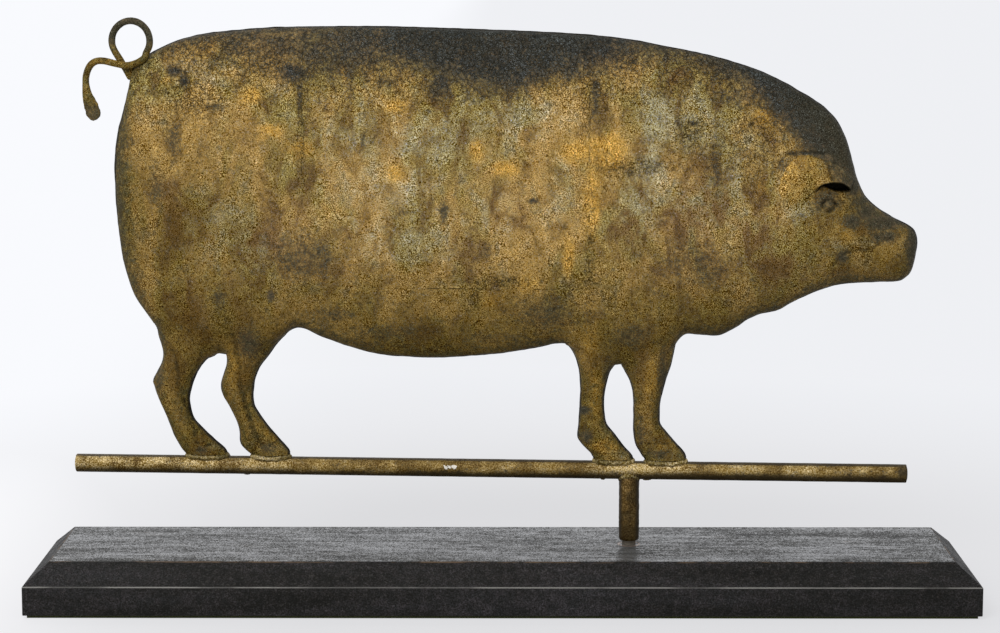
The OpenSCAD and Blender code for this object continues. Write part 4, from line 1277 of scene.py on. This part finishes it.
# The tail's loop, its wire, the angle in degrees at which the wire enters the loop, and where its butt sits
LOOP_R = 20.4
TAIL_R = 3.6
LOOP_MID = (-508, 404.5 + LOOP_R)
LOOP_ENTRY = 205
ROOT = (-508.9, 386.8)
# Solder at its root and on the seam in front of it: points and radii
ROOT_SOLDER = [((x, y, z), (4.2, 3.4, 4.6)) for x, y, z in (
    (-505, 0, 392), (-506.5, 0, 396.5), (-503.5, 0, 399), (-511.5, 0.5, 394.5), (-508.5, 0, 390),
)] + [((-498, 0, 404), (4.5, 3.0, 3.4))]


def tail_stations():
    """Stations of the tail from its butt to the hammered tip. Each is (x, z, distance towards the viewer,
    half width, half thickness)."""
    # how far the wire has come forward after the loop, and where it crosses its own root
    front, cross = 2 * TAIL_R + 2.4, 2 * TAIL_R + 0.5

    def turn(degrees):
        a = math.radians(degrees)
        return LOOP_MID[0] + LOOP_R * math.cos(a), LOOP_MID[1] + LOOP_R * math.sin(a)

    out = [(*ROOT, 0, 0.0, 0.0)]
    for share in (0.02, 0.3, 0.6):
        x, z = (a + (b - a) * share for a, b in zip(ROOT, turn(LOOP_ENTRY)))
        out.append((x, z, 0, TAIL_R, TAIL_R))
    for a in range(LOOP_ENTRY, LOOP_ENTRY - 241, -24):
        out.append((*turn(a), front * float(soft_step(-a, -150, 5)), TAIL_R, TAIL_R))
    out += [(*p, TAIL_R, TAIL_R) for p in (
        (-493.7, 407.8, front), (-501.5, 402.9, front), (-512, 400.4, cross + 0.8), (-524, 402.3, cross),
        (-535, 404.8, cross), (-543.5, 404.4, cross), (-550, 399.7, cross - 1), (-553.8, 391, cross - 1),
        (-554.6, 382, cross - 1),
    )]
    out += [(x, z, cross - 1, wide, TAIL_R * flat) for x, z, wide, flat in (
        (-553.4, 371, 5.2, 0.72), (-551, 363, 6.9, 0.58), (-548.6, 356, 7.4, 0.5),
        (-547.3, 350.5, 7.2, 0.45), (-547, 346.4, 4.9, 0.42), (-546.8, 344.6, 2.2, 0.3),
        (-546.7, 344.2, 0.0, 0.0),
    )]
    return out


class VANE_OT_tail(VaneStep):
    """Bends the tail wire and hammers its tip"""

    bl_idname = "vane.tail"
    bl_label = "Tail"

    def execute(self, context):
        """Runs a rod along the tail's line and solders its root."""
        sizes = context.scene.pig_sizes
        stations = np.array(tail_stations())
        stop = np.arange(len(stations))
        at = np.linspace(0, stop[-1], stop[-1] * 7 + 1)
        x, z, forward, wide, thick = (
            np.interp(at, *smooth_line(np.stack([stop, column], 1), 14).T) for column in stations.T
        )
        worn = 0.97 + 0.03 * rough(x, z, 7, 4.0)
        hammered = 1 + 0.16 * rough(x, z, 4.5, 9.0) * soft_step(-z, -372, -352)
        across = np.clip(np.stack([wide * worn * hammered, thick * worn], 1), 0, None)
        across[[0, -1]] = 0
        piece = tube("tail_wire", np.stack([x, -forward, z], 1), across, around=20)
        z = (np.array([v.co.z for v in piece.data.vertices]) - SOLE_Z) / MM
        shares = np.tile((0, 0.14, 0.7, 0, 0.12, 0, 0.6, 0), (len(z), 1))
        shares[:, 0] = np.maximum(0.75 * soft_step(z, 406, 432), 0.55 * soft_step(-z, -372, -350))
        shares[:, 3] = 0.6 * np.exp(-(((z - 402) / 7) ** 2))
        set_patina(piece, shares)
        metal = copper_finish("tail_copper", context.scene.pig_colours)
        finish_piece(piece, metal, "vane", "tail")
        root = lumps("tail_root_solder", ROOT_SOLDER, sizes.lump, wobble=0.0004)
        even_patina(root, 0.1, 0.15, 0.5, 0.75, 0.2, 0.3, 0.4, 0)
        finish_piece(root, metal, "vane")
        return {"FINISHED"}


# The crossbar's ends and radius. Its end rounds in by these steps, each (along, off the radius).
BAR_ENDS = (-574.0, 282.0)
BAR_RADIUS = 9.525
END_STEPS = ((0, 3.4), (0, 0.9), (0.15, 0.5), (0.6, 0.2))
# A plug's outline, from its hidden end to its crown: along from the bar's end, and off the radius
PLUG_ALONG = (-6, -6, -1.2, -0.2, 0.45, 0.85, 1.05, 1.1, 1.1)
PLUG_IN = (BAR_RADIUS, 2.1, 1.9, 2.0, 2.6, 4.2, 6.2, 8.2, BAR_RADIUS)


class VANE_OT_crossbar(VaneStep):
    """Makes the crossbar tube and its end plugs"""

    bl_idname = "vane.crossbar"
    bl_label = "Crossbar"

    def execute(self, context):
        """Runs the tube from end to end and closes it with rounded plugs."""
        back, front = BAR_ENDS
        steps, rounding = np.array(END_STEPS).T
        x = np.concatenate([back + steps, np.linspace(back + 1.5, front - 1.5, 300), (front - steps)[::-1]])
        r = BAR_RADIUS - 0.12 + 0.11 * rough(x, np.zeros_like(x), 16, 1.0)
        r[:4] = BAR_RADIUS - rounding
        r[-4:] = r[:4][::-1]
        path = np.stack([x, np.zeros_like(x), np.full_like(x, BAR_MM)], 1)
        path[0, 0] += 0.01
        path[-1, 0] -= 0.01
        bar = tube("crossbar_tube", path, np.stack([r, r], 1), around=40)
        bpy.ops.object.shade_smooth_by_angle(angle=CREASE)
        finish_piece(bar, bar_finish("crossbar_brass"), "vane", "crossbar")
        ends = []
        for side, at, way in (("back", back, -1), ("front", front, 1)):
            ring = BAR_RADIUS - np.array(PLUG_IN)
            x = at + way * (np.array(PLUG_ALONG) + np.linspace(0, 0.02, len(ring)))
            line = np.stack([x, np.zeros_like(x), np.full_like(x, BAR_MM)], 1)
            ends.append(tube(f"crossbar_plug_{side}", line, np.stack([ring, ring], 1), 32))
            bpy.ops.object.shade_smooth_by_angle(angle=math.radians(60))
        dull = bar_finish("plug_solder", dull=0.7)
        finish_piece(ends[0], dull, "vane")
        finish_piece(ends[1], dull, "vane", "crossbar_plugs")
        return {"FINISHED"}


# The socket's inner and outer radius, and how far its top reaches up into the bar
SOCKET_BORE = 7.9
SOCKET_OUTER = 10.65
SOCKET_TOP = BAR_MM - 3


class VANE_OT_socket(VaneStep):
    """Makes the socket tube under the crossbar and the solder at its joint"""

    bl_idname = "vane.socket"
    bl_label = "Socket"

    def execute(self, context):
        """Turns the socket's profile about the spindle and runs solder round the tee."""
        low = (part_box("socket")[0][2] - SOLE_Z) / MM
        bore, outer, top = SOCKET_BORE, SOCKET_OUTER, SOCKET_TOP
        outside = np.linspace(low + 2.2, top, 44)
        ring = np.concatenate([
            [(bore, top), (bore, low + 0.4), (bore + 0.3, low), (outer - 1.3, low)],
            [(outer - 0.9, low + 0.5)], np.stack([np.full_like(outside, outer), outside], 1), [(bore, top)],
        ])

        def skin(s, t):
            r, z = ring[np.rint(t * (len(ring) - 1)).astype(int)].T
            c, n = np.cos(2 * math.pi * s), np.sin(2 * math.pi * s)
            wall = r > outer - 0.01
            r = r + 0.25 * wall * (rough(8 * c + 8 * n, z, 5, 8.0, 3) - 1)
            return np.stack([r * c, r * n, z], 1), None

        piece = laid_grid("socket_tube", 72, len(ring) - 1, skin)
        weld(0.0004)
        bpy.ops.object.shade_smooth_by_angle(angle=math.radians(40))
        finish_piece(piece, socket_finish("socket_brass"), "vane", "socket")
        balls = []
        for k in range(22):
            c, n = math.cos(2 * math.pi * k / 22), math.sin(2 * math.pi * k / 22)
            size = 1.7 + 0.7 * noise.noise(Vector((k * 0.9, 0.4, 0)))
            balls.append(((9.9 * c, 9.9 * n, BAR_MM - 9.2 * (1 - 0.55 * n**2)), (size, size, size * 1.5)))
        tee = lumps("tee_solder_run", balls, context.scene.pig_sizes.lump)
        finish_piece(tee, solder_finish("tee_solder_metal"), "vane", "tee_solder")
        return {"FINISHED"}


# Drips of solder under the bar: x, y, drop below the bar's middle, radii
DRIPS = ((-27, -2, 9.2, (2.4, 2.0, 1.3)), (18, -2, 9.0, (5.0, 2.2, 1.0)), (-395, -1, 9.3, (3.4, 1.8, 0.7)))


class VANE_OT_foot_solder(VaneStep):
    """Runs solder between the hooves and the crossbar"""

    bl_idname = "vane.foot_solder"
    bl_label = "Foot Solder"

    def execute(self, context):
        """Lays lumps along each hoof and drips under the bar."""
        sizes = context.scene.pig_sizes
        metal = solder_finish("foot_solder_metal")
        made = []
        for k, (name, leg) in enumerate(LEGS.items()):
            heel, toe = leg["back"][0][1] + 2.5, leg["front"][0][1] - 2
            balls = []
            for i in range(11):
                share = i / 10
                x = heel + (toe - heel) * share
                spread = math.sqrt(max(1 - (2 * share - 1) ** 2, 0))
                for sign in (-1, 1):
                    wob = noise.noise(Vector((i * 0.83, k * 2.7, sign * 1.3)))
                    place = (x, sign * (2.6 + 5.6 * spread), -2.6 + 0.8 * wob)
                    balls.append((place, (3.6, 2.9, 3.3 + 0.9 * wob)))
                balls.append(((x, 0, -1.9), (3.4, 3.4 + 4.4 * spread, 2.3)))
            made.append(lumps(f"{name}_solder", balls, sizes.lump, wobble=0.0008))
            finish_piece(made[-1], metal, "vane")
        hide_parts("foot_solder")
        for k, (x, y, drop, radii) in enumerate(DRIPS):
            drip = lumps(f"solder_drip_{k + 1}", [((x, y, BAR_MM - drop), radii)], sizes.lump * 0.7, 0.0004)
            finish_piece(drip, metal, "vane")
        return {"FINISHED"}


class VANE_OT_base(VaneStep):
    """Makes the bevelled board and dresses the felt"""

    bl_idname = "vane.base"
    bl_label = "Base"

    def execute(self, context):
        """Raises the board from a slab, draws its top in for the bevel and eases its edges."""
        look = context.scene.stand_look
        wide, deep, high = (b - a for a, b in zip(BOARD_LOW, BOARD_HIGH))
        wall = high - BEVEL_DROP
        deselect()
        bpy.ops.mesh.primitive_cube_add(size=1, location=(0, 0, 0))
        board = bpy.context.object
        board.name = board.data.name = "board"
        board.scale = (wide, deep, wall)
        board.location = (0, 0, BOARD_LOW[2] + wall / 2)
        bpy.ops.object.transform_apply(location=True, rotation=True, scale=True)
        bpy.ops.object.mode_set(mode="EDIT")
        bpy.ops.mesh.select_all(action="DESELECT")
        bpy.ops.object.mode_set(mode="OBJECT")
        for face in board.data.polygons:
            face.select = face.normal.z > 0.9
        bpy.ops.object.mode_set(mode="EDIT")
        bpy.ops.mesh.select_mode(type="FACE")
        bpy.ops.mesh.extrude_region_move(TRANSFORM_OT_translate={"value": (0, 0, BEVEL_DROP)})
        share = (1 - 2 * BEVEL_RUN / wide, 1 - 2 * BEVEL_RUN / deep, 1)
        bpy.ops.transform.resize(value=share, center_override=(0, 0, BOARD_HIGH[2]))
        bpy.ops.object.mode_set(mode="OBJECT")
        modify(board, "BEVEL", width=0.0009, segments=3, limit_method="ANGLE", angle_limit=math.radians(20))
        bpy.ops.object.shade_smooth_by_angle(angle=math.radians(30))
        finish_piece(board, paint_finish("black_painted_sides", look, False), "stand", "base_board")
        board.data.materials.append(paint_finish("black_painted_top", look, True))
        for face in board.data.polygons:
            if face.normal.z > 0.99:
                face.material_index = 1
        dress(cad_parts["base_felt"], felt_finish("green_felt", look))
        return {"FINISHED"}


class VANE_OT_spindle(VaneStep):
    """Dresses the spindle, its washer and its nut"""

    bl_idname = "vane.spindle"
    bl_label = "Spindle"

    def execute(self, context):
        """Gives the turned steel parts their finish."""
        steel = steel_finish("spindle_steel", (0.11, 0.095, 0.075), 0.42)
        bright = steel_finish("washer_steel", (0.3, 0.3, 0.29), 0.35)
        for name, metal in (("spindle", steel), ("spindle_washer", bright), ("spindle_nut", bright)):
            dress(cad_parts[name], metal)
        return {"FINISHED"}


FLOOR_RADIUS = 70
# The soft lights as (name, place, size, share of the key light's power), and the point that they face
LIGHTS = (("soft_front", (-0.9, -2.4, 2.3), 1.8, 1), ("soft_back", (-1.2, 2.2, 2.4), 1.8, 0.28))
LIT_POINT = Vector((0, 0, 0.3))
# The camera's place and turn, fitted to the photograph, and the width of its sensor in mm
CAMERA_PLACE = (0.00734, -2.72169, 0.66911)
CAMERA_TURN = (math.radians(82.056), 0, math.radians(0.208))
SENSOR = 36


class VANE_OT_studio(VaneStep):
    """Sets the floor, the lights and the camera"""

    bl_idname = "vane.studio"
    bl_label = "Studio"

    def execute(self, context):
        """Lays a pale floor, lights it softly and stands the camera in front."""
        scene = context.scene
        look = scene.stand_look
        deselect()
        under = (0, 0, -0.0002)
        bpy.ops.mesh.primitive_circle_add(vertices=96, radius=FLOOR_RADIUS, fill_type="NGON", location=under)
        floor = bpy.context.object
        floor.name = floor.data.name = "floor"
        bpy.ops.object.transform_apply(location=True, rotation=True, scale=True)
        s = Shader("pale_floor")
        place = s.place(turned=False)
        away = s.vector("LENGTH", place, out="Value")
        x = s.axes(place)[0]
        matt = s.add("BsdfDiffuse", {"Color": (*look.floor, 1)})
        # for the camera the floor glows: painted light, brighter near the stand and towards the left;
        # its matt part keeps the real shadows
        near = s.mix(s.band(away, 0.4, 1.4), look.near, look.backdrop)
        glow = s.add("Emission", {"Color": near, "Strength": s.band(x, -0.75, -0.1, 1.1, 1.0)})
        share = s.most(s.band(away, 0.3, 1.5, 0.62, 1.0), s.band(x, -0.35, -0.65, 0.62, 0.86))
        mixed = s.add("MixShader", {0: s.times(share, s.seen()), 1: matt.outputs[0], 2: glow.outputs[0]})
        s.join(mixed.outputs[0], s.add("OutputMaterial").inputs["Surface"])
        floor.data.materials.append(s.owner)
        floor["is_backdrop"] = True

        s = Shader("studio", world=True)
        scene.world = s.owner
        fill = s.add("Background", {"Color": (0.95, 0.975, 1, 1), "Strength": 0.4})
        shown = s.add("Background", {"Color": (*look.backdrop, 1)})
        mixed = s.add("MixShader", {0: s.seen(), 1: fill.outputs[0], 2: shown.outputs[0]})
        s.join(mixed.outputs[0], s.add("OutputWorld").inputs["Surface"])

        for name, place, size, power in LIGHTS:
            bpy.ops.object.light_add(type="AREA", location=place)
            lamp = bpy.context.object
            lamp.name = lamp.data.name = name
            lamp.data.size = size
            lamp.data.energy = look.key * power
            lamp.rotation_euler = (LIT_POINT - Vector(place)).to_track_quat("-Z", "Y").to_euler()

        bpy.ops.object.camera_add(location=CAMERA_PLACE, rotation=CAMERA_TURN)
        camera = bpy.context.object
        camera.data.sensor_width = SENSOR
        camera.data.lens = look.lens / 10
        scene.camera = camera
        scene.view_settings.view_transform = "Standard"
        return {"FINISHED"}


class VANE_PT_panel(Panel):
    """The vane's steps and settings in the sidebar"""

    bl_idname = "VANE_PT_panel"
    bl_label = "Pig Weathervane"
    bl_space_type = "VIEW_3D"
    bl_region_type = "UI"
    bl_category = "Vane"

    def draw(self, context):
        """Lists the steps, then the sizes and colours."""
        for step in STEPS:
            self.layout.operator(step.bl_idname)
        for group in ("pig_sizes", "pig_colours", "stand_look"):
            owner = getattr(context.scene, group)
            box = self.layout.box()
            for key in owner.__annotations__:
                box.prop(owner, key)


STEPS = (
    VANE_OT_studio, VANE_OT_base, VANE_OT_spindle, VANE_OT_crossbar, VANE_OT_socket, VANE_OT_foot_solder,
    VANE_OT_body_sheets, VANE_OT_legs, VANE_OT_ears, VANE_OT_rim_seam, VANE_OT_tail,
)
GROUPS = (PigSizes, PigColours, StandLook)


def register():
    """Adds the groups, steps and panel to Blender."""
    for item in GROUPS + STEPS + (VANE_PT_panel,):
        bpy.utils.register_class(item)
    bpy.types.Scene.pig_sizes = PointerProperty(type=PigSizes)
    bpy.types.Scene.pig_colours = PointerProperty(type=PigColours)
    bpy.types.Scene.stand_look = PointerProperty(type=StandLook)


def unregister():
    """Takes them away again."""
    del bpy.types.Scene.stand_look
    del bpy.types.Scene.pig_colours
    del bpy.types.Scene.pig_sizes
    for item in reversed(GROUPS + STEPS + (VANE_PT_panel,)):
        bpy.utils.unregister_class(item)


def main():
    """Makes the whole vane, then works out its bounds beside the CAD model's."""
    register()
    bpy.ops.vane.studio()
    bpy.ops.vane.base()
    bpy.ops.vane.spindle()
    bpy.ops.vane.crossbar()
    bpy.ops.vane.socket()
    bpy.ops.vane.foot_solder()
    bpy.ops.vane.body_sheets()
    bpy.ops.vane.legs()
    bpy.ops.vane.ears()
    bpy.ops.vane.rim_seam()
    bpy.ops.vane.tail()
    deselect()
    boxes = {"cad": CAD_BOX, "visual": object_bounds()}
    {key: [[float(v) for v in corner] for corner in pair] for key, pair in boxes.items()}


if __name__ == "__main__":
    main()
